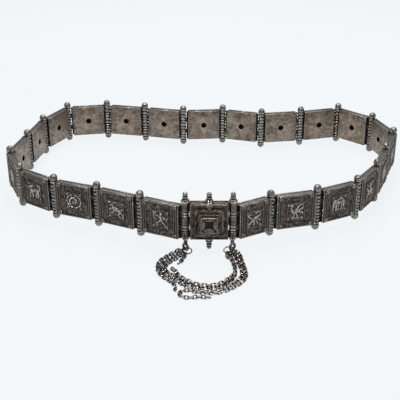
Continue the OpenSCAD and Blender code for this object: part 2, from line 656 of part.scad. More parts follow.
// Two points on the way straight out of a ring, between which the strand's end link lies round its wire
function hook(middle, pin, angle) =
    let(turn = angle - ring_angle(middle, pin),
        inner_r = ring_r + link_hole / 2 - ring_wire / 2 - hook_gap - link_pitch / 2,
        z = ring_z + ring_r * cos(turn) * sin(ring_tilt))
    [for (r = [inner_r, inner_r + link_pitch])
        [middle.x + r * cos(angle), middle.y + r * sin(angle), r == inner_r ? z : max(z, chain_z)]];
function reversed(list) = [for (i = [len(list) - 1:-1:0]) list[i]];

// A strand's points, from a ring to the other one or to its free end
function strand_points(k) =
    let(way = [for (p = strand_ways[k]) [p.x, p.y, len(p) > 2 ? p.z : chain_z]],
        left = is_undef(left_hooks[k]) ? [] : hook(left_ring, points[0], left_hooks[k]),
        right = is_undef(right_hooks[k]) ? [] :
            hook(right_ring, points[len(points) - 1], right_hooks[k]))
    len(left) == 0 ? concat(right, way) : concat(left, way, reversed(right));

// The strand's curve as many short steps, and the length run up to each of them
function fine_points(list, n) = [for (i = [0:n]) curve_at(list, i / n)];
function run_lengths(list) = [for (i = 0, run = 0; i < len(list);
    i = i + 1, run = run + (i < len(list) ? norm(list[i] - list[i - 1]) : 0)) run];

// Evenly spaced points along a strand, one more than it has links. The count of links is odd, so that
// the links at both ends lean the same way.
function even_points(list) =
    let(fine = fine_points(list, 40 * len(list)),
        runs = run_lengths(fine),
        total = runs[len(runs) - 1],
        links = 2 * round((total / link_pitch - 1) / 2) + 1)
    [for (i = [0:links])
        let(s = total * i / links)
        [for (axis = [0:2]) lookup(s, [for (j = [0:len(fine) - 1]) [runs[j], fine[j][axis]]])]];

// Oval link lying in X and Y, with its long way along X
module oval_link() {
    wire_r = (link_w - link_wire) / 2;
    half = (link_hole - link_w + 2 * link_wire) / 2;
    for (side = [-1, 1]) {
        translate([side * half, 0, 0]) rotate([0, 0, side < 0 ? 90 : -90])
            rotate_extrude(angle = 180, $fn = 24) translate([wire_r, 0]) circle(d = link_wire, $fn = 16);
        translate([-half, side * wire_r, 0]) rotate([0, 90, 0])
            cylinder(d = link_wire, h = 2 * half, $fn = 16);
    }
}

// Links lean to one side and the other in turn, each by a slightly different angle
link_lean = 45;
lean_change = 8;

module chain(k) {
    stops = even_points(strand_points(k));
    first_side = is_undef(left_hooks[k]) ? -1 : 1;
    color("darkslategray") translate([-box_middle.x, -box_middle.y, 0])
        for (i = [0:len(stops) - 2]) {
            dir = unit(stops[i + 1] - stops[i]);
            roll = first_side * (i % 2 == 0 ? link_lean : -link_lean) + lean_change * sin(100 * i);
            translate((stops[i] + stops[i + 1]) / 2)
                rotate([roll, -asin(dir.z), atan2(dir.y, dir.x)]) oval_link();
        }
}

for (k = [1:plates]) link_plate(k);
clasp_plate();
for (k = [1:hinges]) hinge_pin(k);
clasp_pin(-1);  // clasp_pin_left
clasp_pin(1);  // clasp_pin_right
ring(left_ring, points[0]);  // ring_left
ring(right_ring, points[len(points) - 1]);  // ring_right
for (k = [1:chain_count]) chain(k - 1);
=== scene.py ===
# Belt of hinged silver plates, standing in an oval loop on a pale studio floor.
# Pieces are shaped in millimetres beside their own hinge or middle, then settled in the frame in metres.
from math import asin, atan2, copysign, cos, hypot, pi, radians, sin, sqrt

import bpy
from mathutils import Matrix, Vector


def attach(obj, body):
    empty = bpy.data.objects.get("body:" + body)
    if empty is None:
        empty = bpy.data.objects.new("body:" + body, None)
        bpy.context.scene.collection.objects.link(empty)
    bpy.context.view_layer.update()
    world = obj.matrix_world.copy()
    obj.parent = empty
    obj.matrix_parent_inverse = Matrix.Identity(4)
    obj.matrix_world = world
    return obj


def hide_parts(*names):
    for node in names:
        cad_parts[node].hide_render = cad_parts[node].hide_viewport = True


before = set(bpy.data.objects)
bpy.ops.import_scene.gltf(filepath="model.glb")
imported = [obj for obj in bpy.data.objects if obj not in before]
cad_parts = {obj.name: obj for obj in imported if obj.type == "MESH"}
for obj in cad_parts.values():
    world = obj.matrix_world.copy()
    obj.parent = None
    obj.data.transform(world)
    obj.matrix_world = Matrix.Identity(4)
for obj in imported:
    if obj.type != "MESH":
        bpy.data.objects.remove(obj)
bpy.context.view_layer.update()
print("frame loaded:", len(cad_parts), "nodes")


# Working habits: pick, edit, finish

def pick(*objects):
    bpy.ops.object.select_all(action="DESELECT")
    for obj in objects:
        obj.select_set(True)
    bpy.context.view_layer.objects.active = objects[0]


def startEdit(obj, selected="SELECT"):
    # None keeps what was selected before
    pick(obj)
    bpy.ops.object.mode_set(mode="EDIT")
    if selected:
        bpy.ops.mesh.select_all(action=selected)


def endEdit():
    bpy.ops.object.mode_set(mode="OBJECT")


def freeze(obj):
    # place, turn and size go into the mesh, so that the object sits at the origin
    pick(obj)
    bpy.ops.object.transform_apply(location=True, rotation=True, scale=True)
    return obj


def applyModifier(obj, name, kind, **settings):
    pick(obj)
    modifier = obj.modifiers.new(name, kind)
    for key, value in settings.items():
        setattr(modifier, key, value)
    bpy.ops.object.modifier_apply(modifier=modifier.name)
    return obj


def paint(obj, name):
    obj.data.materials.clear()
    obj.data.materials.append(finish[name])
    return obj


def paintWhere(obj, name, test):
    # the faces that pass a test take their own finish
    obj.data.materials.append(finish[name])
    for face in obj.data.polygons:
        if test(face):
            face.material_index = len(obj.data.materials) - 1
    return obj


def joined(parts, name):
    pick(*parts)
    bpy.ops.object.join()
    obj = bpy.context.object
    obj.name = name
    obj.data.name = name
    return obj


def copied(obj):
    twin = obj.copy()
    twin.data = obj.data.copy()
    bpy.context.collection.objects.link(twin)
    return twin


def removed(objects):
    for obj in objects:
        bpy.data.objects.remove(obj, do_unlink=True)


def transformed(obj, matrix):
    obj.data.transform(matrix)
    if matrix.determinant() < 0:
        obj.data.flip_normals()
    return obj


def cut(obj, tool, operation="DIFFERENCE"):
    applyModifier(obj, "cut", "BOOLEAN", object=tool, operation=operation, solver="EXACT")
    removed([tool])
    return obj


def pickFaces(obj, test):
    # edit mode with only the faces selected that pass a test
    startEdit(obj, "DESELECT")
    endEdit()
    for face in obj.data.polygons:
        face.select = test(face)
    startEdit(obj, None)


def holdFaces(obj, band=0.15, least=2.0, leastWidth=0.48):
    # two narrow bands round each broad face keep the wear of its edges from spreading over it
    def isBroad(face):
        corners = [obj.data.vertices[i].co for i in face.vertices]
        around = sum((a - b).length for a, b in zip(corners, corners[1:] + corners[:1]))
        return face.area > least and face.area / around > leastWidth

    pickFaces(obj, isBroad)
    for _ in range(2):
        bpy.ops.mesh.inset(thickness=band, depth=0, use_individual=True, use_even_offset=False)
    endEdit()
    return obj


def block(low, high, bevel=0.0, segments=2):
    middle = [(a + b) / 2 for a, b in zip(low, high)]
    bpy.ops.mesh.primitive_cube_add(size=1, location=middle)
    obj = bpy.context.object
    obj.scale = [b - a for a, b in zip(low, high)]
    freeze(obj)
    if bevel:
        applyModifier(obj, "soft edges", "BEVEL", width=bevel, segments=segments, limit_method="NONE")
        holdFaces(obj)
    return obj


def turned(rings, sides, x, y=0.0):
    # a solid of revolution, raised ring by ring: (height, radius) from the foot to the top
    z, radius = rings[0]
    bpy.ops.mesh.primitive_circle_add(vertices=sides, radius=radius, fill_type="NGON", location=(x, y, z))
    obj = freeze(bpy.context.object)
    startEdit(obj)
    for nextZ, nextRadius in rings[1:]:
        bpy.ops.mesh.extrude_region_move(TRANSFORM_OT_translate={"value": (0, 0, nextZ - z)})
        grow = nextRadius / radius
        bpy.ops.transform.resize(value=(grow, grow, 1), center_override=(x, y, nextZ))
        z, radius = nextZ, nextRadius
    bpy.ops.mesh.select_all(action="SELECT")
    bpy.ops.mesh.normals_make_consistent(inside=False)
    endEdit()
    return obj


def ball(middle, radii, segments, rings):
    bpy.ops.mesh.primitive_uv_sphere_add(segments=segments, ring_count=rings, radius=1, location=middle)
    obj = bpy.context.object
    obj.scale = radii
    return freeze(obj)


def layAlong(obj, a, b):
    # an upright shape is turned and moved to lie between two points
    obj.rotation_mode = "QUATERNION"
    obj.rotation_quaternion = (b - a).to_track_quat("Z", "Y")
    obj.location = (a + b) / 2
    return freeze(obj)


def drum(x, z, y0, y1, radius, sides):
    # round solid from front to back
    bpy.ops.mesh.primitive_cylinder_add(vertices=sides, radius=radius, depth=y1 - y0,
                                        rotation=(pi / 2, 0, 0), location=(x, (y0 + y1) / 2, z))
    return freeze(bpy.context.object)


def wire(start, end, thickness, sides=10):
    a, b = Vector(start), Vector(end)
    bpy.ops.mesh.primitive_cylinder_add(vertices=sides, radius=thickness / 2, depth=(b - a).length)
    return layAlong(bpy.context.object, a, b)


def ropeWire(start, end, thickness, turn, stepsPerTurn=6):
    # square wire twisted along its length, one full turn in every `turn` millimetres
    a, b = Vector(start), Vector(end)
    length = (b - a).length
    steps = max(4, round(length / turn * stepsPerTurn))
    bpy.ops.mesh.primitive_cylinder_add(vertices=4, radius=thickness / 2, depth=length)
    obj = bpy.context.object
    startEdit(obj, "DESELECT")
    bpy.ops.mesh.select_mode(type="EDGE")
    endEdit()
    for edge in obj.data.edges:
        p, q = (obj.data.vertices[i].co for i in edge.vertices)
        edge.select = abs(p.z - q.z) > length / 2
    startEdit(obj, None)
    bpy.ops.mesh.subdivide(number_cuts=steps)
    bpy.ops.mesh.select_mode(type="VERT")
    endEdit()
    applyModifier(obj, "twist", "SIMPLE_DEFORM", deform_method="TWIST", deform_axis="Z",
                  angle=2 * pi * length / turn)
    return layAlong(obj, a, b)


def beadRow(start, end, bead, pitch):
    # a line of small balls, as granulation or beaded wire has
    a, b = Vector(start), Vector(end)
    count = max(2, round((b - a).length / pitch))
    step = (b - a) / count
    bpy.ops.mesh.primitive_ico_sphere_add(subdivisions=2, radius=bead / 2, location=a + step / 2)
    obj = freeze(bpy.context.object)
    return applyModifier(obj, "row", "ARRAY", count=count, use_relative_offset=False,
                         use_constant_offset=True, constant_offset_displace=step)


def linkNodes(tree, *rows):
    # each row: a node, its output, and then the node and input that it feeds
    for a, output, b, socket in rows:
        tree.links.new(a.outputs[output], b.inputs[socket])


def setInputs(node, values):
    for socket, value in values.items():
        node.inputs[socket].default_value = value


# Camera, floor and light

camera = {"place": (-0.004955, -0.529543, 0.281873), "down": 27.786, "fieldOfView": 26.636}


def makeCamera():
    bpy.ops.object.camera_add(location=camera["place"],
                              rotation=(radians(90 - camera["down"]), 0, 0))
    cam = bpy.context.object
    cam.data.sensor_fit = "HORIZONTAL"
    cam.data.angle = radians(camera["fieldOfView"])
    cam.data.clip_start = 0.01
    cam.data.clip_end = 20
    bpy.context.scene.camera = cam


studio = {
    # the floor is a lit table, so it glows by itself and takes only faint shadows
    "floorSize": 24.0, "floorColor": (0.045, 0.047, 0.048), "floorGlow": (0.815, 0.845, 0.865),
    # the sky lights the belt softly and looks as pale as the floor
    "sky": (0.93, 0.96, 1.0), "skyStrength": 0.3, "skySeen": 0.95,
    # place, size and power of each soft light, all of which face the middle of the belt
    "lights": [
        ((-0.25, -0.35, 0.95), 0.14, 6.0),
        ((0.55, -0.2, 0.85), 0.3, 2.6),
        ((0.0, 0.35, 0.9), 1.0, 11.0),
    ],
    "target": (0, -0.01, 0.015),
}


def makeStudio():
    bpy.ops.mesh.primitive_plane_add(size=studio["floorSize"])
    floor = bpy.context.object
    floor.name = "studio_floor"
    pale = bpy.data.materials.new("pale floor")
    pale.use_nodes = True
    setInputs(pale.node_tree.nodes["Principled BSDF"], {
        "Base Color": (*studio["floorColor"], 1), "Emission Color": (*studio["floorGlow"], 1),
        "Emission Strength": 1, "Specular IOR Level": 0, "Roughness": 0.9})
    floor.data.materials.append(pale)
    world = bpy.data.worlds.new("soft room")
    world.use_nodes = True
    nodes = world.node_tree.nodes
    sky, seen, strength = nodes["Background"], nodes.new("ShaderNodeLightPath"), nodes.new("ShaderNodeMath")
    strength.operation = "MULTIPLY_ADD"
    setInputs(sky, {"Color": (*studio["sky"], 1)})
    setInputs(strength, {1: studio["skySeen"] - studio["skyStrength"], 2: studio["skyStrength"]})
    linkNodes(world.node_tree, (seen, "Is Camera Ray", strength, 0), (strength, 0, sky, "Strength"))
    bpy.context.scene.world = world
    bpy.context.scene.view_settings.view_transform = "Standard"
    for place, size, power in studio["lights"]:
        bpy.ops.object.light_add(type="AREA", location=place)
        light = bpy.context.object
        light.data.shape = "DISK"
        light.data.size = size
        light.data.energy = power
        towards = Vector(studio["target"]) - Vector(place)
        light.rotation_euler = towards.to_track_quat("-Z", "Y").to_euler()


makeCamera()
makeStudio()
print("camera, floor and light ready")


# Tarnished silver, with painted shade in its nooks

tarnish = {
    # pointiness over which an edge is rubbed bright, and openness over which a nook stops keeping its
    # tarnish and its painted shade
    "edges": (0.49, 0.58), "nooks": (0.3, 0.95), "nookReach": 0.002, "paintedNookShade": (0.12, 0.1, 0.09),
    # brown patches on the dull silver
    "patches": (0.42, 0.6), "patchScale": 260,
    # how much grain and blotches vary the wear, and the blotches' scale beside the grain's
    "grainShare": 2.4, "blotchShare": 1.4, "blotchScale": 0.42,
    "leastMetal": 0.4, "specular": 0.25, "bumpDepth": 0.0006,
    "sockets": [("INPUT", "Color", ("Silver", "Tarnish", "Patina")),
                ("INPUT", "Float", ("Polish", "Edge Wear", "Grain", "Blotch", "Dull Roughness",
                                    "Worn Roughness")),
                ("OUTPUT", "Color", ("Color",)), ("OUTPUT", "Float", ("Metal", "Roughness", "Height"))],
}


def makeTarnishAndShadeGroup():
    group = bpy.data.node_groups.new("tarnished silver with painted shade", "ShaderNodeTree")
    for way, kind, names in tarnish["sockets"]:
        for name in names:
            group.interface.new_socket(name=name, in_out=way, socket_type="NodeSocket" + kind)
    new = group.nodes.new
    given, result = new("NodeGroupInput"), new("NodeGroupOutput")
    place = new("ShaderNodeTexCoord")
    grain, blotch, patches = (new("ShaderNodeTexNoise") for _ in range(3))
    setInputs(grain, {"Detail": 5, "Roughness": 0.65})
    setInputs(blotch, {"Detail": 3})
    setInputs(patches, {"Scale": tarnish["patchScale"], "Detail": 4})
    edge = new("ShaderNodeNewGeometry")
    nook = new("ShaderNodeAmbientOcclusion")
    nook.samples = 6
    setInputs(nook, {"Distance": tarnish["nookReach"]})
    edgeRange, nookRange, patchRange, metal, rough = (new("ShaderNodeMapRange") for _ in range(5))
    for node, (low, high) in ((edgeRange, tarnish["edges"]), (nookRange, tarnish["nooks"]),
                              (patchRange, tarnish["patches"])):
        setInputs(node, {"From Min": low, "From Max": high})
    setInputs(metal, {"To Min": tarnish["leastMetal"]})
    kinds = ("MULTIPLY", "MULTIPLY_ADD", "MULTIPLY_ADD", "ADD", "ADD", "ADD", "MULTIPLY", "SUBTRACT")
    maths = [new("ShaderNodeMath") for _ in kinds]
    for node, kind in zip(maths, kinds):
        node.operation = kind
    edgeShare, grainShare, blotchShare, sumA, sumB, sumC, wear, shade = maths
    sumC.use_clamp = True
    wear.use_clamp = True
    for node, share in ((grainShare, tarnish["grainShare"]), (blotchShare, tarnish["blotchShare"])):
        setInputs(node, {1: share, 2: -share / 2})
    setInputs(shade, {0: 1})
    dull, tone, paintedShade = (new("ShaderNodeMix") for _ in range(3))
    for node in (dull, tone, paintedShade):
        node.data_type = "RGBA"
    paintedShade.blend_type = "MULTIPLY"
    # painted shade: the colour is darkened in the nooks, where shade falls
    setInputs(paintedShade, {"B": (*tarnish["paintedNookShade"], 1)})
    linkNodes(
        group, (place, "Object", grain, "Vector"), (place, "Object", blotch, "Vector"),
        (place, "Object", patches, "Vector"), (given, "Grain", grain, "Scale"),
        (given, "Blotch", blotch, "Scale"), (patches, "Fac", patchRange, "Value"),
        (patchRange, "Result", dull, "Factor"), (given, "Tarnish", dull, "A"),
        (given, "Patina", dull, "B"), (edge, "Pointiness", edgeRange, "Value"),
        (edgeRange, "Result", edgeShare, 0), (given, "Edge Wear", edgeShare, 1),
        (grain, "Fac", grainShare, 0), (blotch, "Fac", blotchShare, 0), (edgeShare, 0, sumA, 0),
        (grainShare, 0, sumA, 1), (sumA, 0, sumB, 0), (blotchShare, 0, sumB, 1), (sumB, 0, sumC, 0),
        (given, "Polish", sumC, 1), (nook, "AO", nookRange, "Value"), (sumC, 0, wear, 0),
        (nookRange, "Result", wear, 1), (wear, 0, tone, "Factor"), (dull, "Result", tone, "A"),
        (given, "Silver", tone, "B"), (nookRange, "Result", shade, 1), (shade, 0, paintedShade, "Factor"),
        (tone, "Result", paintedShade, "A"), (paintedShade, "Result", result, "Color"), (wear, 0, metal, "Value"),
        (metal, "Result", result, "Metal"), (wear, 0, rough, "Value"),
        (rough, "Result", result, "Roughness"), (given, "Dull Roughness", rough, "To Min"),
        (given, "Worn Roughness", rough, "To Max"), (grain, "Fac", result, "Height"))
    return group


tarnishAndShadeGroup = makeTarnishAndShadeGroup()

# silver, tarnish and patina, then polish, edge wear, grain, bump, and roughness dull and worn
finishes = {
    "plate": ((0.17, 0.152, 0.134), (0.0095, 0.008, 0.007), (0.02, 0.013, 0.009),
        -0.08, 1.4, 900, 0.4, 0.55, 0.28),
    "edge": ((0.27, 0.262, 0.25), (0.04, 0.037, 0.034), (0.045, 0.038, 0.033),
        0.15, 0.8, 900, 0.3, 0.5, 0.3),
    "wall": ((0.2, 0.192, 0.18), (0.022, 0.02, 0.018), (0.032, 0.026, 0.022),
        0.1, 0.8, 900, 0.3, 0.55, 0.3),
    "strip": ((0.28, 0.232, 0.198), (0.0115, 0.0085, 0.0066), (0.036, 0.018, 0.0118),
        0, 2, 1000, 0.8, 0.5, 0.28),
    "stud": ((0.3, 0.25, 0.21), (0.03, 0.022, 0.018), (0.045, 0.03, 0.022),
        0.15, 1.6, 1100, 0.3, 0.5, 0.26),
    "ground": ((0.16, 0.156, 0.152), (0.0045, 0.004, 0.0035), (0.01, 0.0075, 0.006),
        -0.3, 0.8, 1200, 1, 0.5, 0.26),
    "figure": ((0.57, 0.526, 0.478), (0.018, 0.015, 0.013), (0.026, 0.02, 0.017),
        0.05, 2.2, 1100, 0.5, 0.5, 0.22),
    "rib": ((0.4, 0.373, 0.345), (0.014, 0.012, 0.0105), (0.028, 0.02, 0.015),
        0.25, 1.1, 1200, 0.2, 0.5, 0.3),
    "wire": ((0.34, 0.325, 0.305), (0.01, 0.009, 0.008), (0.02, 0.014, 0.011),
        0.05, 1.5, 1300, 0.3, 0.5, 0.22),
    "rope": ((0.22, 0.207, 0.19), (0.01, 0.009, 0.008), (0.022, 0.015, 0.012),
        -0.02, 1.2, 1300, 0.3, 0.5, 0.26),
    "pin": ((0.38, 0.345, 0.31), (0.022, 0.018, 0.015), (0.037, 0.025, 0.018),
        0.1, 1, 800, 0.2, 0.34, 0.13),
    "sleeve": ((0.19, 0.155, 0.127), (0.01, 0.0075, 0.006), (0.028, 0.0155, 0.01),
        -0.1, 1.2, 800, 0.4, 0.5, 0.24),
    "clasp": ((0.36, 0.308, 0.272), (0.026, 0.0205, 0.017), (0.045, 0.0275, 0.0205),
        0.34, 0, 800, 0.6, 0.5, 0.3),
    "hollow": ((0.17, 0.135, 0.113), (0.014, 0.0105, 0.009), (0.022, 0.012, 0.008),
        -0.1, 0.8, 900, 0.4, 0.5, 0.26),
    # the web stands for the shade in the gap beside a column: painted shade
    "web": ((0.07, 0.06, 0.052), (0.01, 0.008, 0.007), (0.014, 0.009, 0.0065),
        -0.2, 0.8, 900, 0.3, 0.55, 0.4),
    "inside": ((0.33, 0.275, 0.232), (0.085, 0.064, 0.051), (0.12, 0.077, 0.052),
        0.24, 0.6, 420, 0.25, 0.5, 0.24),
    # near black: painted shade in groove floors, hole walls and between beads
    "hole": ((0.01, 0.009, 0.008), (0.004, 0.0035, 0.003), (0.006, 0.004, 0.0035),
        -0.5, 0, 900, 0.1, 0.6, 0.5),
    "chain": ((0.31, 0.275, 0.252), (0.005, 0.0042, 0.0036), (0.011, 0.0078, 0.006),
        -0.12, 1.3, 1400, 0.2, 0.4, 0.14),
}


def makeFinish(name):
    silver, dullSilver, patina, polish, edgeWear, grain, bump, dullRough, wornRough = finishes[name]
    material = bpy.data.materials.new("silver " + name)
    material.use_nodes = True
    tree = material.node_tree
    shader = tree.nodes["Principled BSDF"]
    group, bumpNode = tree.nodes.new("ShaderNodeGroup"), tree.nodes.new("ShaderNodeBump")
    group.node_tree = tarnishAndShadeGroup
    setInputs(shader, {"Specular IOR Level": tarnish["specular"]})
    setInputs(group, {
        "Silver": (*silver, 1), "Tarnish": (*dullSilver, 1), "Patina": (*patina, 1), "Polish": polish,
        "Edge Wear": edgeWear, "Grain": grain, "Blotch": tarnish["blotchScale"] * grain,
        "Dull Roughness": dullRough, "Worn Roughness": wornRough})
    setInputs(bumpNode, {"Strength": bump, "Distance": tarnish["bumpDepth"]})
    linkNodes(
        tree, (group, "Color", shader, "Base Color"), (group, "Metal", shader, "Metallic"),
        (group, "Roughness", shader, "Roughness"), (group, "Height", bumpNode, "Height"),
        (bumpNode, "Normal", shader, "Normal"))
    return material


finish = {name: makeFinish(name) for name in finishes}
print("finishes ready:", ", ".join(finish))


# Where each plate stands: the same walk round the loop as in the part's source

loop = {
    "pitch": 32.0, "narrowPitch": 28.0, "claspPitch": 30.0,
    "leftBends": [24, 1, -4, 14, 32, 35, 0, 16, 53, 20, 2],
    "rightBends": [29, -14, 12, 29, 12, 1, 40, 29, 56, -6],
    "boxMiddle": (-0.8, 64.3), "claspDrop": 3.9, "pinHeight": 32.8, "claspHeight": 25.2, "claspLift": 1.4,
    "backPlate": 13, "narrowPlate": 23, "plates": 23,
}


def walkSide(startX, angle, bends, sign, firstLength):
    points = [Vector((startX, 0))]
    for k, bend in enumerate(bends):
        angle += sign * bend
        length = firstLength if k == 0 else loop["pitch"]
        step = Vector((cos(radians(angle)), sin(radians(angle)))) * length
        points.append(points[-1] + step)
    return points


leftSide = walkSide(-loop["claspPitch"] / 2, 180, loop["leftBends"], -1, loop["pitch"])
rightSide = walkSide(loop["claspPitch"] / 2, 0, loop["rightBends"], 1, loop["narrowPitch"])
acrossBack = rightSide[-1] - leftSide[-1]
outwards = Vector((-acrossBack.y, acrossBack.x)).normalized()
backHinge = (leftSide[-1] + rightSide[-1]) / 2 + outwards * sqrt(
    loop["pitch"] ** 2 - (acrossBack.length / 2) ** 2)
hingePoints = leftSide + [backHinge] + rightSide[::-1]
lean = asin(loop["claspDrop"] / max(p.y for p in hingePoints))

plate = {
    "height": 24.0, "thick": 4.6, "sheet": 1.0, "sheetBevel": 0.16, "wallInset": 0.35, "hole": 4.4,
    "wideGap": 1.3, "tightGap": 0.4, "webGap": 0.25, "webThick": 1.6,
    # how far a part runs into the one that it is soldered to
    "joint": 0.3, "shortJoint": 0.2,
    # hinge columns; blackGroove is the share of a groove's depth whose floor is painted black, as painted
    # shade
    "columnWidth": 5.0, "columnProud": 0.4, "groove": 0.85, "blackGroove": 0.42, "runGap": 0.12,
    "neck": 2.8, "neckEnd": 0.5, "neckBevel": 0.15,
    # knuckle groups from a hinge column's foot up: their share of its height, and the ribs in each
    "groupShare": [0.2, 0.17, 0.22, 0.17, 0.24], "groupRibs": 2,
    # one rib from its foot up: share of its height, and of the groove's depth
    "ribShape": [(0, 1), (0.16, 0.5), (0.28, 0.12), (0.42, 0), (0.58, 0), (0.72, 0.12), (0.84, 0.5)],
    "edgeWire": 1.1, "edgeCore": 0.6, "edgeEnd": 0.2, "beadPitch": 1.16,
    "coverGap": 0.15, "coverThick": 0.6, "coverFrom": 120, "coverTo": 152, "underCover": 0.05,
    "stud": 2.8, "studInset": 0.3, "studProud": 0.6, "studRim": 0.45, "studSlope": 0.2, "studHollow": 0.15,
    "studGrain": (0.5, 0.35, 0.5), "grainProud": 0.4,
    # wires at the sides, by their distance from the side and their thickness
    "sideWires": [(0.65, 0.7), (2.05, 0.6)], "wireProud": 0.12,
    # twisted wires, by their thickness and the length of a turn
    "longRope": (0.8, 2.2), "longRopeInset": 0.8, "squareRope": (0.75, 1.8), "squareRopeProud": 0.22,
    "square": 12.5, "drawnSquare": 13.0, "squareRim": 0.35, "squareProud": 0.06, "cornerBall": (0.55,) * 3,
}
smoothAngle = radians(38)
plateFoot = (loop["pinHeight"] - plate["height"]) / 2
# the hinge columns at the clasp are centred on the clasp plate, so they stand higher than the others
sleeveLift = (loop["claspHeight"] - plate["height"]) / 2
hingeLift = loop["claspLift"] + sleeveLift
outerGroups, innerGroups = [0, 2, 4], [1, 3]


def groupSpan(group):
    # foot and height of one knuckle group, measured from the plate's lower edge
    column = plate["height"] + 2 * plate["columnProud"]
    foot = column * sum(plate["groupShare"][:group]) - plate["columnProud"] + plate["runGap"] / 2
    return foot, column * plate["groupShare"][group] - plate["runGap"]


def inMetres(height):
    # from millimetres round the clasp to metres round the middle of the box
    x, y = loop["boxMiddle"]
    return Matrix.Scale(0.001, 4) @ Matrix.Translation((-x, -y, height))


def placeInFrame(x, y, z, turn, mirrored=False, length=0.0):
    own = Matrix.Translation((x, y, z)) @ Matrix.Rotation(turn, 4, "Z")
    if mirrored:
        own = own @ Matrix.Translation((length, 0, 0)) @ Matrix.Diagonal((-1, 1, 1, 1))
    return inMetres(loop["claspDrop"]) @ Matrix.Rotation(-lean, 4, "X") @ own


def settle(obj, matrix, name, slotName, *nodes):
    transformed(obj, matrix)
    obj.name = name
    obj.data.name = name
    pick(obj)
    bpy.ops.object.shade_smooth_by_angle(angle=smoothAngle)
    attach(obj, "root")
    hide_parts(*nodes)


# Cast figures: strokes of (x, y, width) at each end, seen from outside the belt

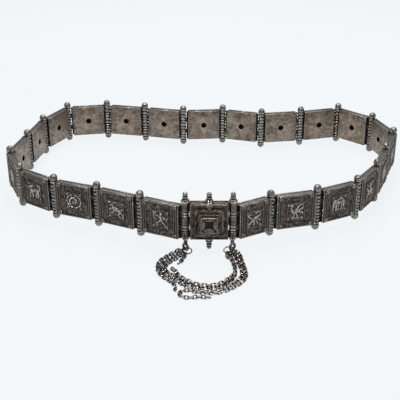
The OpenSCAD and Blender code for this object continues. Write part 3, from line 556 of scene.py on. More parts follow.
figureStrokes = {
    "lion": [
        (-2.6, 0.9, 3.4, 2.6, 0.5, 3), (-3, 1.9, 3.8, -3.4, 2.4, 3), (-4, 2.6, 2.4, -5.1, 2, 1.5),
        (-3, 0, 1.6, -4.3, -3.4, 1.1), (-4.3, -4, 1.1, -5.2, -4.2, 0.9), (-2, 0, 1.6, -1.4, -3.9, 1),
        (2.7, 0, 2.5, 3.7, -1.9, 1.6), (3.7, -1.9, 1.5, 2.9, -4.2, 1), (2.2, -0.6, 1.8, 1.4, -4.1, 1),
        (3.8, 1.2, 1.1, 5, 2.7, 0.9), (5, 2.7, 0.9, 4.3, 4.4, 1), (4.3, 4.4, 1, 3.2, 4.6, 1.4)],
    "deer": [
        (-1.4, 0.8, 2.6, 2.4, -0.8, 2.8), (-1.8, 1.2, 2.1, -2.9, 3.2, 1.3),
        (-2.9, 3.3, 1.5, -4.4, 2.6, 0.9), (-2.6, 3.7, 0.8, -1.6, 5, 0.6), (-1.6, 5, 0.7, 0.4, 4.9, 0.6),
        (-0.9, 4.9, 0.6, -0.4, 3.8, 0.5), (-1.9, 0.2, 1.4, -4, 0.6, 0.9), (-4, 0.6, 0.9, -4.9, -0.8, 0.8),
        (-1.2, -0.2, 1.3, -2.6, -2.2, 0.9), (-2.6, -2.2, 0.9, -4.2, -2.6, 0.8),
        (2.6, -1.2, 2.2, 1.6, -3.2, 1.3), (1.6, -3.2, 1.1, 2.8, -5, 0.9), (3.2, -1.4, 1.7, 4.5, -3.2, 1),
        (4.5, -3.2, 1, 4.2, -5, 0.9), (3.4, 0, 1, 4.6, 1.2, 0.8)],
    "bird": [
        (-0.6, -0.4, 3.2, 2.2, 0.6, 2.2), (-1.8, 0.2, 2, -3, 2.6, 1.2), (-3, 2.6, 1.2, -2, 4.2, 1.2),
        (-2, 4.3, 1.5, -3.6, 4.6, 0.6), (0.4, 0.8, 1.8, 2.4, 3.8, 1), (2.4, 3.8, 1, 4.2, 4.8, 0.8),
        (2.4, 0.8, 1.4, 4.6, 1.8, 1.2), (4.6, 1.8, 1.2, 5, 3.2, 0.8), (2.6, -0.2, 1.3, 4.8, -0.8, 1),
        (4.8, -0.8, 1, 5, -2.2, 0.8), (-0.6, -1.8, 1.1, -1.4, -4.2, 0.8), (0.8, -1.6, 1.1, 1.4, -4.2, 0.8),
        (-2.4, -4.5, 0.8, 2.6, -4.5, 0.8)],
    "elephant": [
        (-1.4, 1, 4.4, 2.2, 1, 4.2), (-3.4, 1.8, 3.2, -3.8, 1, 2.4), (-4.4, 0.4, 1.4, -4.6, -2.4, 1),
        (-4.6, -2.4, 1, -5.2, -3.8, 0.8), (-3, -0.2, 0.8, -3.6, -2, 0.6),
        (-2.4, -0.6, 1.8, -2.4, -4.2, 1.5), (-0.7, -0.6, 1.6, -0.6, -4.2, 1.4),
        (1.5, -0.4, 1.8, 1.4, -4.2, 1.4), (3.1, -0.2, 2, 3.3, -4.2, 1.5), (4.2, 1.4, 0.9, 5, -0.8, 0.7),
        (-0.2, 3.4, 1.8, 1.8, 3.4, 1.6), (0.8, 4.2, 1.4, 0.8, 5, 1)],
    "archer": [
        (0.4, 3.8, 2, 0.4, 3.4, 1.8), (0.2, 2.2, 2.4, 0.6, -0.4, 2), (-0.6, 2.2, 1.1, -3.4, 2.4, 0.9),
        (1, 2.2, 1.1, 3, 1, 0.9), (3, 1, 0.9, 1.4, 0.2, 0.8), (0, -0.8, 1.5, -2, -2.4, 1.1),
        (-2, -2.4, 1.1, -2.2, -4.8, 0.9), (1, -0.8, 1.5, 2.4, -2.6, 1.1), (2.4, -2.6, 1.1, 4, -4.6, 0.9),
        (-2.6, 5, 0.7, -4.2, 3.6, 0.8), (-4.2, 3.6, 0.8, -4.6, 1.6, 0.8), (-4.6, 1.6, 0.8, -3.2, -0.4, 0.7),
        (3.6, -0.6, 0.8, 4.8, 1.8, 0.8)],
    "scorpion": [
        (-1.2, -0.6, 2.4, 1.4, 0.8, 2.2), (-1.8, 0.6, 1.2, -4.2, 2.4, 0.9), (-4.2, 2.4, 0.9, -5, 4, 0.8),
        (-4.2, 2.4, 0.9, -3.2, 4.4, 0.8), (-1.8, -1.2, 1.2, -3.6, -2.6, 0.9),
        (-3.6, -2.6, 0.9, -5, -2, 0.8), (-3.6, -2.6, 0.9, -4, -4.4, 0.8), (0, -1.2, 1, -0.4, -4, 0.8),
        (1.2, -0.4, 1, 2.4, -3.4, 0.8), (2.2, 0.4, 1, 4.4, -1.6, 0.8), (1.6, 1.2, 1.6, 3.8, 2, 1.2),
        (3.8, 2, 1.2, 4.4, 4, 1), (4.4, 4, 1, 2.6, 5, 0.9), (2.6, 5, 0.9, 1, 4, 1.3)],
    "rider": [
        (-1.8, -0.8, 2.4, 2, -0.8, 2.4), (-2.4, -0.2, 1.6, -3.8, 1.6, 1.2), (-3.8, 1.6, 1.4, -5, 0.6, 0.9),
        (-2.2, -1.6, 1.2, -3.6, -4.4, 0.8), (-1.2, -1.8, 1.1, -0.4, -4.6, 0.8),
        (1.8, -1.6, 1.3, 1, -4.6, 0.8), (2.8, -1.4, 1.3, 4, -4.4, 0.8), (3, -0.2, 0.9, 4.8, -1.6, 0.8),
        (0.2, 0.4, 1.6, 0, 2.6, 1.8), (0, 4, 1.6, 0, 3.8, 1.6), (-0.6, 2.2, 0.8, -2.6, 3, 0.7),
        (0.8, 2.4, 0.8, 3, 4.6, 0.7), (3, 4.6, 0.7, 4.6, 3.2, 0.7)],
}


def arcStrokes(radius0, radius1, ratio, start, stop, count, w0, w1):
    strokes = []
    for i in range(count):
        ends = []
        for u in (i / count, (i + 1) / count):
            a = radians(start + (stop - start) * u)
            r = radius0 + (radius1 - radius0) * u
            ends += [r * cos(a), ratio * r * sin(a), w0 + (w1 - w0) * u]
        strokes.append(tuple(ends))
    return strokes


wreath = [(5 * cos(radians(a)), 4.6 * sin(radians(a)), 1.45) for a in range(0, 360, 36)]
figureStrokes["coiled"] = (arcStrokes(5, 5, 0.92, 0, 360, 14, 0.8, 0.8) + [knob + knob for knob in wreath]
                           + arcStrokes(3.1, 1, 1, 200, -170, 9, 1.5, 0.9)
                           + [(-3, -0.9, 1.5, -2.2, -2.6, 1), (0.2, 0.2, 1, 0.2, -0.8, 0.8)])
figureOrder = ["lion", "deer", "bird", "elephant", "archer", "scorpion", "rider", "coiled"]
figureOfPlate = [4, 1, 7, 0, 3, 2, 5, 1, 6, 0, 2, 3, 7, 1, 4, 5, 0, 2, 3, 6, 3, 2, 5]
# small leaves fill the corners of the square round each figure
cornerLeaves = [(4.9, 4.9, 0.9, 3.7, 4.9, 0.35), (4.9, 4.9, 0.9, 4.9, 3.7, 0.35),
                (4.7, 4.7, 0.6, 3.9, 3.9, 0.3)]
figureScale = 1.08
relief = {
    "height": 0.95, "sunk": 0.3, "voxel": 0.15, "faces": 3000,
    # over the lift, a knob rises by a share of its width and a limb by a share of its half width
    "knobRise": 0.42, "limbRise": 0.84, "lift": 0.2, "leastLimb": 0.2,
}


def makeFigure(name):
    # rounded limbs are laid over each other and melted into one casting, then cut flat at the back
    parts = []
    highest, lift = relief["height"], relief["lift"]
    leaves = [(sideX * x0, sideZ * z0, w0, sideX * x1, sideZ * z1, w1)
              for sideX in (-1, 1) for sideZ in (-1, 1) for x0, z0, w0, x1, z1, w1 in cornerLeaves]
    for x0, z0, w0, x1, z1, w1 in figureStrokes[name] + leaves:
        a, b = Vector((-x0, 0, z0)), Vector((-x1, 0, z1))
        for at, width in ((a, w0), (b, w1)):
            rise = min(relief["knobRise"] * width + lift, highest)
            parts.append(ball(at, (width / 2, rise, width / 2), 16, 10))
        depth = (b - a).length
        if depth > relief["leastLimb"]:
            bpy.ops.mesh.primitive_cone_add(vertices=16, radius1=w0 / 2, radius2=w1 / 2, depth=depth)
            limb = layAlong(bpy.context.object, a, b)
            middle = (w0 + w1) / 4
            limb.scale = (1, min(relief["limbRise"] * middle + lift, highest) / middle, 1)
            parts.append(freeze(limb))
    obj = joined(parts, "figure_" + name)
    applyModifier(obj, "melt", "REMESH", mode="VOXEL", voxel_size=relief["voxel"])
    applyModifier(obj, "smooth", "SMOOTH", factor=0.5, iterations=3)
    startEdit(obj)
    bpy.ops.mesh.bisect(plane_co=(0, -relief["sunk"], 0), plane_no=(0, 1, 0), use_fill=True,
                        clear_inner=True)
    endEdit()
    ratio = min(1.0, relief["faces"] / len(obj.data.polygons))
    applyModifier(obj, "fewer faces", "DECIMATE", ratio=ratio)
    return paint(obj, "figure")


figures = [makeFigure(name) for name in figureOrder]
print("figures cast:", len(figures))


# Plates

def ribRings(foot, height):
    # ribs as round as thick wire, with narrow deep grooves
    radius, groove, count = plate["columnWidth"] / 2, plate["groove"], plate["groupRibs"]
    rings = [(foot + (i + share) * height / count, radius - depth * groove)
             for i in range(count) for share, depth in plate["ribShape"]]
    return rings + [(foot + height, radius - groove)]


def makeKnuckles(groups, hingeX, reach, lift=0.0):
    parts = []
    inset, end, half = plate["wallInset"], plate["neckEnd"], plate["neck"] / 2
    deep = plate["columnWidth"] / 2 - plate["groove"] * plate["blackGroove"]
    for group in groups:
        foot, height = groupSpan(group)
        column = paint(turned(ribRings(foot + lift, height), 24, hingeX), "rib")
        # the floors of the grooves are painted black as painted shade
        parts.append(paintShadeBlack(column, deep, lambda spot: hypot(spot.x - hingeX, spot.y)))
        low = max(foot + end, inset) + lift
        high = min(foot + height - end, plate["height"] - inset) + lift
        x0, x1 = sorted((hingeX, hingeX + reach))
        parts.append(paint(block((x0, -half, low), (x1, half, high), plate["neckBevel"]), "plate"))
    return parts


def paintShadeBlack(obj, radius, distance):
    # the faces that lie wholly within a radius are painted black, as painted shade deep in grooves and
    # holes
    spots = obj.data.vertices
    return paintWhere(obj, "hole", lambda face: all(distance(spots[i].co) < radius for i in face.vertices))


def makeShadeWeb(hingeX, gap, side=1, low=None, high=None, clear=plate["webGap"]):
    # strip at mid thickness that closes the gap beside a column, dark as painted shade in the gap
    radius, half = plate["columnWidth"] / 2, plate["webThick"] / 2
    far = radius + gap + plate["wallInset"] + plate["joint"]
    x0, x1 = sorted((hingeX + side * (radius + clear), hingeX + side * far))
    low = plate["wallInset"] if low is None else low
    high = plate["height"] - plate["wallInset"] if high is None else high
    return paint(block((x0, -half, low), (x1, half, high), 0.12), "web")


def makeCover(hingeX):
    # curved sheet that carries the front on over the column, with a beaded wire at its edge
    radius = plate["columnWidth"] / 2 + plate["coverGap"] + plate["edgeWire"] / 2
    start, stop = (radians(plate[key]) for key in ("coverFrom", "coverTo"))
    bpy.ops.mesh.primitive_plane_add(size=1, rotation=(pi / 2, 0, 0),
                                     location=(radius, 0, plate["height"] / 2))
    obj = bpy.context.object
    obj.scale = (plate["coverThick"], plate["height"] - 2 * plate["edgeEnd"], 1)
    freeze(obj)
    obj.rotation_euler = (0, 0, start)
    freeze(obj)
    startEdit(obj)
    bpy.ops.mesh.spin(steps=6, angle=start - stop, center=(0, 0, 0), axis=(0, 0, 1))
    bpy.ops.mesh.select_all(action="SELECT")
    bpy.ops.mesh.remove_doubles(threshold=0.001)
    bpy.ops.mesh.normals_make_consistent(inside=False)
    endEdit()
    obj.location = (hingeX, 0, 0)
    freeze(obj)
    return [paint(obj, "plate")] + makeBeads(hingeX + radius * cos(start), radius * sin(start))


def paintEdges(obj, name):
    # the narrow faces round a sheet are rubbed bright
    return paintWhere(obj, name, lambda face: abs(face.normal.y) < 0.8)


def makeBox(x0, x1, front, top, nearInset=0.0, farInset=0.0, wallFinish="wall", edgeFinish="edge",
            frontFinish="strip"):
    # two sheets with a wall between them that stands a little further in
    back, middle, radius = -plate["thick"] / 2, (x0 + x1) / 2, plate["hole"] / 2
    sheet, inset, bevel = plate["sheet"], plate["wallInset"], plate["sheetBevel"]
    rear = block((x0, back, 0), (x1, back + sheet, top), bevel, 1)
    walls = block((x0 + inset, back + sheet * 0.8, inset), (x1 - inset, front - sheet / 2, top - inset))
    # the hole starts a millimetre behind the rear sheet and ends inside the walls
    for obj, depth in ((rear, 3), (walls, 2)):
        cut(obj, drum(middle, top / 2, back - 1, back + depth, radius, 32))
    paintEdges(paint(rear, "inside"), edgeFinish)
    paint(walls, wallFinish)
    # the walls of the hole are painted black as painted shade
    for obj in (rear, walls):
        paintShadeBlack(obj, radius + 0.02, lambda spot: hypot(spot.x - middle, spot.z - top / 2))
    sheetFront = block((x0 + nearInset, front - sheet, 0), (x1 - farInset, front, top), bevel, 1)
    return [rear, walls, paintEdges(paint(sheetFront, frontFinish), edgeFinish)]


def makeStud(x, z, front):
    # square pad with a hollowed top and a grain of silver in the hollow
    size = plate["stud"]
    low, high = front - plate["shortJoint"], front + plate["studProud"]
    pad = block((x, low, z), (x + size, high, z + size), 0.2, 1)
    pickFaces(pad, lambda face: face.normal.y > 0.9 and face.area > 1.5)
    bpy.ops.mesh.inset(thickness=plate["studRim"], depth=0)
    bpy.ops.mesh.inset(thickness=plate["studSlope"], depth=-plate["studHollow"])
    endEdit()
    grain = ball((x + size / 2, front + plate["grainProud"], z + size / 2), plate["studGrain"], 14, 8)
    return [paint(pad, "stud"), paint(grain, "stud")]


def makeFront(x0, x1, front):
    parts = []
    top, inset = plate["height"], plate["studInset"]
    far = inset + plate["stud"]
    for x in (x0 + inset, x1 - far):
        for z in (inset, top - far):
            parts += makeStud(x, z, front)
    y, end = front + plate["wireProud"], far - plate["shortJoint"]
    for offset, thick in plate["sideWires"]:
        for x in (x0 + offset, x1 - offset):
            parts.append(paint(wire((x, y, end), (x, y, top - end), thick), "plate"))
    for z in (plate["longRopeInset"], top - plate["longRopeInset"]):
        parts.append(paint(ropeWire((x0 + end, y, z), (x1 - end, y, z), *plate["longRope"]), "rope"))
    half = plate["square"] / 2
    middle, centre = (x0 + x1) / 2, top / 2
    parts.append(paint(block((middle - half, front - plate["joint"], centre - half),
                             (middle + half, front + plate["squareProud"], centre + half)), "ground"))
    inner, y = half - plate["squareRim"], front + plate["squareRopeProud"]
    corners = [(middle + sideX * inner, y, centre + sideZ * inner)
               for sideX, sideZ in ((-1, -1), (1, -1), (1, 1), (-1, 1))]
    for a, b in zip(corners, corners[1:] + corners[:1]):
        parts.append(paint(ropeWire(a, b, *plate["squareRope"]), "rope"))
        parts.append(paint(ball((a[0], y - 0.02, a[2]), plate["cornerBall"], 12, 8), "rope"))
    return parts


def makeBeads(x, y):
    # beaded wire that stands beside a hinge column, with a smooth core that joins its beads, painted black
    # as painted shade between them
    top, end = plate["height"], plate["edgeEnd"]
    beads = beadRow((x, y, end), (x, y, top - end), plate["edgeWire"], plate["beadPitch"])
    core = wire((x, y, 2 * end), (x, y, top - 2 * end), plate["edgeCore"])
    return [paint(beads, "wire"), paint(core, "hole")]


def makePlate(length, farGap, farGroups, nearLift=0.0):
    front, radius = plate["thick"] / 2, plate["columnWidth"] / 2
    x0, x1 = radius + plate["wideGap"], length - radius - farGap
    edge, reachIn = plate["edgeWire"] / 2, plate["wallInset"] + plate["joint"]
    wide = farGap == plate["wideGap"]
    # the front sheet ends in the middle of an edge wire, or runs on under the cover of a column
    farEdge = edge if wide else plate["underCover"] - farGap
    parts = makeBox(x0, x1, front, plate["height"], edge, farEdge)
    parts += makeFront(x0 + 2 * edge, x1 - max(0, 2 * farEdge), front)
    parts += makeBeads(x0 + edge, front - edge)
    parts += makeBeads(x1 - edge, front - edge) if wide else makeCover(length)
    parts.append(makeShadeWeb(0.0, plate["wideGap"]))
    if wide:
        parts.append(makeShadeWeb(length, farGap, -1))
    parts += makeKnuckles(innerGroups, 0.0, x0 + reachIn, nearLift)
    parts += makeKnuckles(farGroups, length, x1 - length - reachIn)
    return joined(parts, "plate_pattern"), (x0 + x1) / 2


patterns = {
    "ordinary": makePlate(loop["pitch"], plate["tightGap"], outerGroups),
    "first": makePlate(loop["pitch"], plate["tightGap"], outerGroups, hingeLift),
    "back": makePlate(loop["pitch"], plate["wideGap"], innerGroups),
    "narrow": makePlate(loop["narrowPitch"], plate["tightGap"], outerGroups, hingeLift),
}
figureSize = figureScale * plate["square"] / plate["drawnSquare"]
for k in range(1, loop["plates"] + 1):
    start, end = hingePoints[k - 1], hingePoints[k]
    along = end - start
    mirrored = k > loop["backPlate"]
    kind = {1: "first", loop["backPlate"]: "back", loop["narrowPlate"]: "narrow"}.get(k, "ordinary")
    pattern, middle = patterns[kind]
    grow = Matrix.Diagonal((-figureSize if mirrored else figureSize, figureSize, figureSize, 1))
    casting = transformed(copied(figures[figureOfPlate[k - 1]]), Matrix.Translation(
        (middle, plate["thick"] / 2, plate["height"] / 2)) @ grow)
    whole = joined([copied(pattern), casting], "plate")
    matrix = placeInFrame(start.x, start.y, plateFoot, atan2(along.y, along.x), mirrored, along.length)
    node = "plate_%02d" % k
    settle(whole, matrix, "silver_" + node, "plate_silver", node)
removed([pattern for pattern, middle in patterns.values()] + figures)
print("plates placed:", loop["plates"])


# Clasp

clasp = {
    "gap": 0.4, "webGap": 0.12, "thick": 5.4, "outer": 19.0, "inner": 14.0, "boss": 10.8,
    "step": 1.7, "bossSteps": 1.1, "stepBevel": 0.25,
    # shares of a step's width: its half, and the place and radius of its broad and its corner lobes
    "stepHalf": 0.47, "lobe": (0.19, 0.32, 0.18), "cornerLobe": (0.405, 0.405, 0.09),
    # the boss is a frame round a sunk floor, over which a petal slopes in from each side
    "frame": 0.95, "frameInset": 0.6, "frameSlope": 0.12, "sink": 1.0, "petal": (4.0, 0.92, 2.0),
    # wires round the front, and flat pads at its upper corners
    "rimInset": 0.7, "rimEnd": 0.6, "rimWire": 0.9, "rimProud": 0.15,
    "pad": (2.8, 2.3), "padInset": 0.3, "padProud": 0.55,
    # smooth sleeves round the clasp pins, and the necks that hold them
    "sleeveInset": 0.1, "sleeveRim": 0.25, "sleeveWaist": 0.08, "neckEnd": 0.3, "neckJoint": 0.6,
    # finials: width of the foot and the neck, height, and width of the ball
    "finialY": 0.4, "upperFinial": (5.8, 3, 7, 3.5), "lowerFinial": (5.4, 3, 8, 3.4),
    # lumps of the tongue: middle over the front and under the top, radii, and mesh
    "tongue": [(0.1, 1.4, (2.5, 0.9, 1.5), (24, 14)), (0.2, 3.4, (1.7, 0.9, 1.7), (24, 14)),
               (0.9, 3.3, (0.75, 0.5, 0.75), (16, 10))],
}


def finialRings(base, neck, height, ballWidth):
    # a cone with two collars and a ring under the ball, then the ball
    foot, neck, radius = base / 2, neck / 2, ballWidth / 2
    ballZ = height - radius
    cone = ballZ - radius - 0.4
    rings = [(-0.3, foot), (cone * 0.22, foot), (cone * 0.3, foot - 0.35), (cone * 0.42, foot - 0.6),
             (cone * 0.5, foot - 0.35), (cone * 0.62, foot - 0.6), (cone * 0.72, neck + 0.15),
             (cone, neck - 0.1), (cone + 0.15, neck + 0.35), (cone + 0.55, neck + 0.35),
             (cone + 0.75, neck - 0.2)]
    steps, start, stop = 9, -52, 90
    for i in range(1, steps + 1):
        a = radians(start + (stop - start) * i / steps)
        rings.append((ballZ + radius * sin(a), max(0.02, radius * cos(a))))
    return rings


def lobedStep(width, y0, y1, centre):
    # square slab with two broad round lobes on each side and a small one on each corner
    half = width * clasp["stepHalf"]
    slab = block((-half, y0, centre - half), (half, y1, centre + half))
    (across, out, size), (cornerX, cornerZ, cornerSize) = clasp["lobe"], clasp["cornerLobe"]
    for quarter in range(4):
        turn = Matrix.Rotation(radians(90 * quarter), 2)
        for x, z, radius in ((-across, out, size), (across, out, size), (cornerX, cornerZ, cornerSize)):
            place = turn @ Vector((width * x, width * z))
            cut(slab, drum(place.x, centre + place.y, y0, y1, width * radius, 40), "UNION")
    startEdit(slab)
    bpy.ops.mesh.dissolve_limited(angle_limit=radians(2))
    endEdit()
    applyModifier(slab, "soft edges", "BEVEL", width=clasp["stepBevel"], segments=1, limit_method="ANGLE",
                  angle_limit=radians(50))
    # the slanted rim is rubbed bright
    return paintWhere(paint(slab, "clasp"), "stud", lambda face: 0.3 < face.normal.y < 0.9)


def makeBoss(foot, top, centre):
    half, sink = clasp["boss"] / 2, clasp["sink"]
    boss = block((-half, foot, centre - half), (half, top, centre + half), 0.25, 1)
    pickFaces(boss, lambda face: face.normal.y > 0.99 and face.area > 10)
    bpy.ops.mesh.inset(thickness=clasp["frameInset"], depth=0)
    bpy.ops.mesh.inset(thickness=clasp["frameSlope"], depth=-sink)
    endEdit()
    paintWhere(paint(boss, "stud"), "hollow",
               lambda face: face.center.y < top - sink / 2 and face.normal.y > 0.9)
    parts = [boss]
    inner = half - clasp["frame"]
    across, rise, reach = clasp["petal"]
    for quarter in range(4):
        petal = ball((0, top - sink, inner), (across, sink * rise, reach), 32, 16)
        startEdit(petal)
        bpy.ops.mesh.bisect(plane_co=(0, 0, inner + 0.3), plane_no=(0, 0, 1), use_fill=True,
                            clear_outer=True)
        endEdit()
        turn = Matrix.Rotation(radians(90 * quarter), 4, "Y")
        parts.append(paint(transformed(petal, Matrix.Translation((0, 0, centre)) @ turn), "stud"))
    return joined(parts, "boss")


def makeTongue(top, front):
    # small bracket under the upper finial, drawn down over the clasp's rim
    return [paint(ball((0, front + proud, top - down), radii, *mesh), "stud")
            for proud, down, radii, mesh in clasp["tongue"]]


def makeSleeve(x, foot, height):
    radius, rim = plate["columnWidth"] / 2 - clasp["sleeveInset"], clasp["sleeveRim"]
    rings = [(foot, radius - rim), (foot + rim, radius), (foot + height / 2, radius - clasp["sleeveWaist"]),
             (foot + height - rim, radius), (foot + height, radius - rim)]
    return paint(turned(rings, 28, x), "sleeve")


def makeClasp():
    half, neck = loop["claspPitch"] / 2, plate["neck"] / 2
    edge = half - plate["columnWidth"] / 2 - clasp["gap"]
    front = clasp["thick"] - plate["thick"] / 2
    step, joint, top = clasp["step"], plate["joint"], loop["claspHeight"]
    centre = top / 2
    parts = makeBox(-edge, edge, front, top, 0, 0, "hollow", "sleeve", "clasp")
    parts.append(lobedStep(clasp["outer"], front - joint, front + step, centre))
    parts.append(lobedStep(clasp["inner"], front + step - joint, front + 2 * step, centre))
    parts.append(makeBoss(front + 2 * step - joint, front + (2 + clasp["bossSteps"]) * step, centre))
    rim, end, y = clasp["rimInset"], clasp["rimEnd"], front + clasp["rimProud"]
    rims = [((x, y, end), (x, y, top - end)) for x in (rim - edge, edge - rim)]
    rims += [((end - edge, y, z), (edge - end, y, z)) for z in (rim, top - rim)]
    parts += [paint(wire(a, b, clasp["rimWire"]), "clasp") for a, b in rims]
    (width, height), inset = clasp["pad"], clasp["padInset"]
    for x in (inset - edge, edge - inset - width):
        parts.append(paint(block((x, front - plate["shortJoint"], top - inset - height),
                                 (x + width, front + clasp["padProud"], top - inset), 0.2, 1), "plate"))
    parts += makeTongue(top, front)
    for side in (-1, 1):
        # the strip beside the lower knuckle on one side stays open
        low = None if side > 0 else groupSpan(2)[0] + sleeveLift
        high = top - plate["wallInset"]
        parts.append(makeShadeWeb(side * half, clasp["gap"], -side, low, high, clasp["webGap"]))
        for group in outerGroups:
            foot, height = groupSpan(group)
            foot += sleeveLift
            parts.append(makeSleeve(side * half, foot, height))
            low = max(foot + clasp["neckEnd"], plate["wallInset"])
            high = min(foot + height - clasp["neckEnd"], top - plate["wallInset"])
            x0, x1 = sorted((side * half, side * (edge - clasp["neckJoint"])))
            parts.append(paint(block((x0, -neck, low), (x1, neck, high), plate["neckBevel"]), "plate"))
    above, below = (turned(finialRings(*clasp[key]), 32, 0, clasp["finialY"])
                    for key in ("upperFinial", "lowerFinial"))
    parts += [paint(transformed(above, Matrix.Translation((0, 0, top))), "pin"),
              paint(transformed(below, Matrix.Diagonal((1, 1, -1, 1))), "pin")]
    return joined(parts, "clasp")


settle(makeClasp(), placeInFrame(0, 0, plateFoot + loop["claspLift"], pi), "silver_clasp_plate",
       "plate_silver", "clasp_plate")
print("clasp placed")


# Pins and rings keep their own shape

for name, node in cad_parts.items():
    if "pin" in name or name.startswith("ring_"):
        paint(node, "pin")
print("pins and rings finished")


# Chains: pairs of parallel wire loops, laid along the ways of the solid links

chain = {
    "ringWidth": 6.4, "ringWire": 0.8, "eyeWire": 1.7, "ringGap": 0.25, "lift": 1.2, "hookGap": 0.3,
    "linkWidth": 2.7, "linkWire": 0.64, "linkHole": 2.84, "linkPitch": 2.52,
    "leftRing": (-14.2, -3), "rightRing": (12.6, -2), "lean": 45, "leanChange": 8, "leanTurn": 100,
    # half the distance between a pair's loops, and steps for each point of a way
    "pairHalf": 0.33, "finePoints": 40,
}
innerWay = [
    (-19.4, -10.4), (-22.6, -13.4), (-25.6, -17.2), (-27.2, -20.8), (-27, -24.4), (-25.4, -28),
    (-22.2, -31.2), (-18.7, -34.6), (-15.4, -38.2), (-12, -41.6), (-7.4, -44.2), (-1.8, -45.6),
    (3.2, -44.8), (7.8, -42.2), (11.4, -38.6), (14.2, -34.4), (15.6, -30.4), (15.9, -26), (15.3, -20),
    (14.7, -14), (14.1, -10)]
# a strand starts at the left ring, or else at the right one; the angle is the way out of a ring
strands = {
    "chain_1": {"left": 202, "right": -48, "way": [
        (-21, -8.4), (-24.6, -12), (-27.8, -16), (-29.6, -20.4), (-29.4, -25), (-27.4, -29.4), (-24, -32.9),
        (-20.4, -36.4), (-17, -40.2), (-13, -44), (-8, -46.6), (-1.8, -48), (4, -47.2), (9.3, -44.6),
        (13.9, -40.6), (17.6, -36.2), (19.8, -31.8), (20, -27), (18.9, -20), (17.7, -13.4), (16.8, -9.5)]},
    "chain_2": {"left": 230, "right": -76, "way": innerWay},
    "chain_3": {"left": 174, "way": [
        (-21.8, -4), (-24.6, -6.6), (-28, -10.6), (-31, -15), (-32, -20), (-31.8, -25.2), (-29.8, -30.4),
        (-26.4, -34.8), (-23, -38.4), (-21, -42), (-20.4, -47)]},
    "chain_4": {"right": -20, "way": [
        (18.8, -5), (19.7, -8.6), (20.4, -13), (21.4, -20), (22.4, -27), (22.2, -32.6), (19.8, -38),
        (15.6, -43), (10.4, -47), (4.6, -49.8), (-1.6, -50.4), (-8, -49), (-12.6, -47), (-16, -47.8),
        (-18, -50.8), (-16.2, -54), (-11.4, -54.8), (-6, -54), (0, -54.8)]},
    "chain_5": {"left": 258, "way": [(-16.2, -11.2), (-17.4, -14.4), (-19.2, -17.6)]},
    "chain_6": {"right": -104, "way": (
        [(11.2, -9.8, 1.8), (11.9, -13.2, 3.1), (13.8, -17, 3.55)]
        + [(x, y, 3.55) for x, y in innerWay[18:6:-1]]
        + [(-20.2, -31.8, 3.55), (-20.6, -28.8, 3), (-21.6, -26, 1.5), (-23.2, -23.2, 1.2)])},
}
ringRadius = chain["ringWidth"] / 2
ringBack = chain["eyeWire"] + chain["ringWire"] / 2 + chain["ringGap"]
ringFront = chain["ringWire"] / 2 + chain["linkWire"] + chain["ringGap"]
ringSlope = (ringBack - ringFront) / chain["ringWidth"]
ringMiddle = (ringBack + ringFront) / 2


def hookPoints(ring, pin, angle):
    # two points straight out of a ring, between which a strand's end link holds its wire
    away = atan2(pin.y - ring[1], pin.x - ring[0])
    turn = radians(angle)
    inner = (ringRadius + chain["linkHole"] / 2 - chain["ringWire"] / 2 - chain["hookGap"]
             - chain["linkPitch"] / 2)
    z = ringMiddle + ringRadius * cos(turn - away) * ringSlope
    points = []
    for r, height in ((inner, z), (inner + chain["linkPitch"], max(z, chain["lift"]))):
        points.append(Vector((ring[0] + r * cos(turn), ring[1] + r * sin(turn), height)))
    return points


def smoothPoint(points, share):
    last = len(points) - 1
    at = share * last
    i = min(int(at), last - 1)
    t = at - i
    a, b, c, d = (points[min(max(j, 0), last)] for j in (i - 1, i, i + 1, i + 2))
    return 0.5 * (2 * b + (c - a) * t + (2 * a - 5 * b + 4 * c - d) * t ** 2
                  + (3 * b - a - 3 * c + d) * t ** 3)


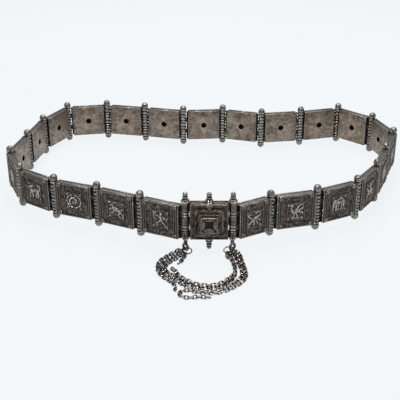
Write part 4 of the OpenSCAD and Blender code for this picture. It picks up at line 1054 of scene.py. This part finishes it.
def strandStops(strand):
    points = [Vector((*p, chain["lift"])) if len(p) == 2 else Vector(p) for p in strand["way"]]
    if "left" in strand:
        points = hookPoints(chain["leftRing"], hingePoints[0], strand["left"]) + points
    if "right" in strand:
        hooked = hookPoints(chain["rightRing"], hingePoints[-1], strand["right"])
        points = points + hooked[::-1] if "left" in strand else hooked + points
    count = chain["finePoints"] * len(points)
    fine = [smoothPoint(points, i / count) for i in range(count + 1)]
    runs = [0.0]
    for a, b in zip(fine, fine[1:]):
        runs.append(runs[-1] + (b - a).length)
    links = 2 * round((runs[-1] / chain["linkPitch"] - 1) / 2) + 1
    stops, j = [], 0
    for i in range(links + 1):
        s = runs[-1] * i / links
        while j < len(runs) - 2 and runs[j + 1] < s:
            j += 1
        t = (s - runs[j]) / (runs[j + 1] - runs[j])
        stops.append(fine[j].lerp(fine[j + 1], t))
    return stops


def makeLoop():
    # oval loop of round wire, a ring drawn out along X
    radius = (chain["linkWidth"] - chain["linkWire"]) / 2
    bpy.ops.mesh.primitive_torus_add(major_segments=24, minor_segments=8, major_radius=radius,
                                     minor_radius=chain["linkWire"] / 2)
    obj = freeze(bpy.context.object)
    half = (chain["linkHole"] - chain["linkWidth"] + 2 * chain["linkWire"]) / 2
    for vertex in obj.data.vertices:
        if abs(vertex.co.x) > 0.01:
            vertex.co.x += copysign(half, vertex.co.x)
    return obj


def makeStrand(name, strand, pair):
    stops = strandStops(strand)
    firstSide = 1 if "left" in strand else -1
    links = []
    for i, (a, b) in enumerate(zip(stops, stops[1:])):
        along = b - a
        side = firstSide * (1 if i % 2 == 0 else -1)
        roll = side * chain["lean"] + chain["leanChange"] * sin(radians(chain["leanTurn"] * i))
        matrix = Matrix.Translation((a + b) / 2)
        matrix = matrix @ Matrix.Rotation(atan2(along.y, along.x), 4, "Z")
        matrix = matrix @ Matrix.Rotation(-asin(along.z / along.length), 4, "Y")
        links.append(transformed(copied(pair), matrix @ Matrix.Rotation(radians(roll), 4, "X")))
    settle(paint(joined(links, name), "chain"), inMetres(0), "silver_" + name, "chain_silver", name)


linkPair = joined([transformed(makeLoop(), Matrix.Translation((0, 0, side * chain["pairHalf"])))
                   for side in (1, -1)], "link_pair")
for name, strand in strands.items():
    makeStrand(name, strand, linkPair)
removed([linkPair])
print("chains laid:", len(strands))

added = [obj.data for obj in bpy.data.objects if obj.type == "MESH" and obj.name.startswith("silver_")]
for mesh in added:
    mesh.calc_loop_triangles()
print("triangles added:", sum(len(mesh.loop_triangles) for mesh in added))
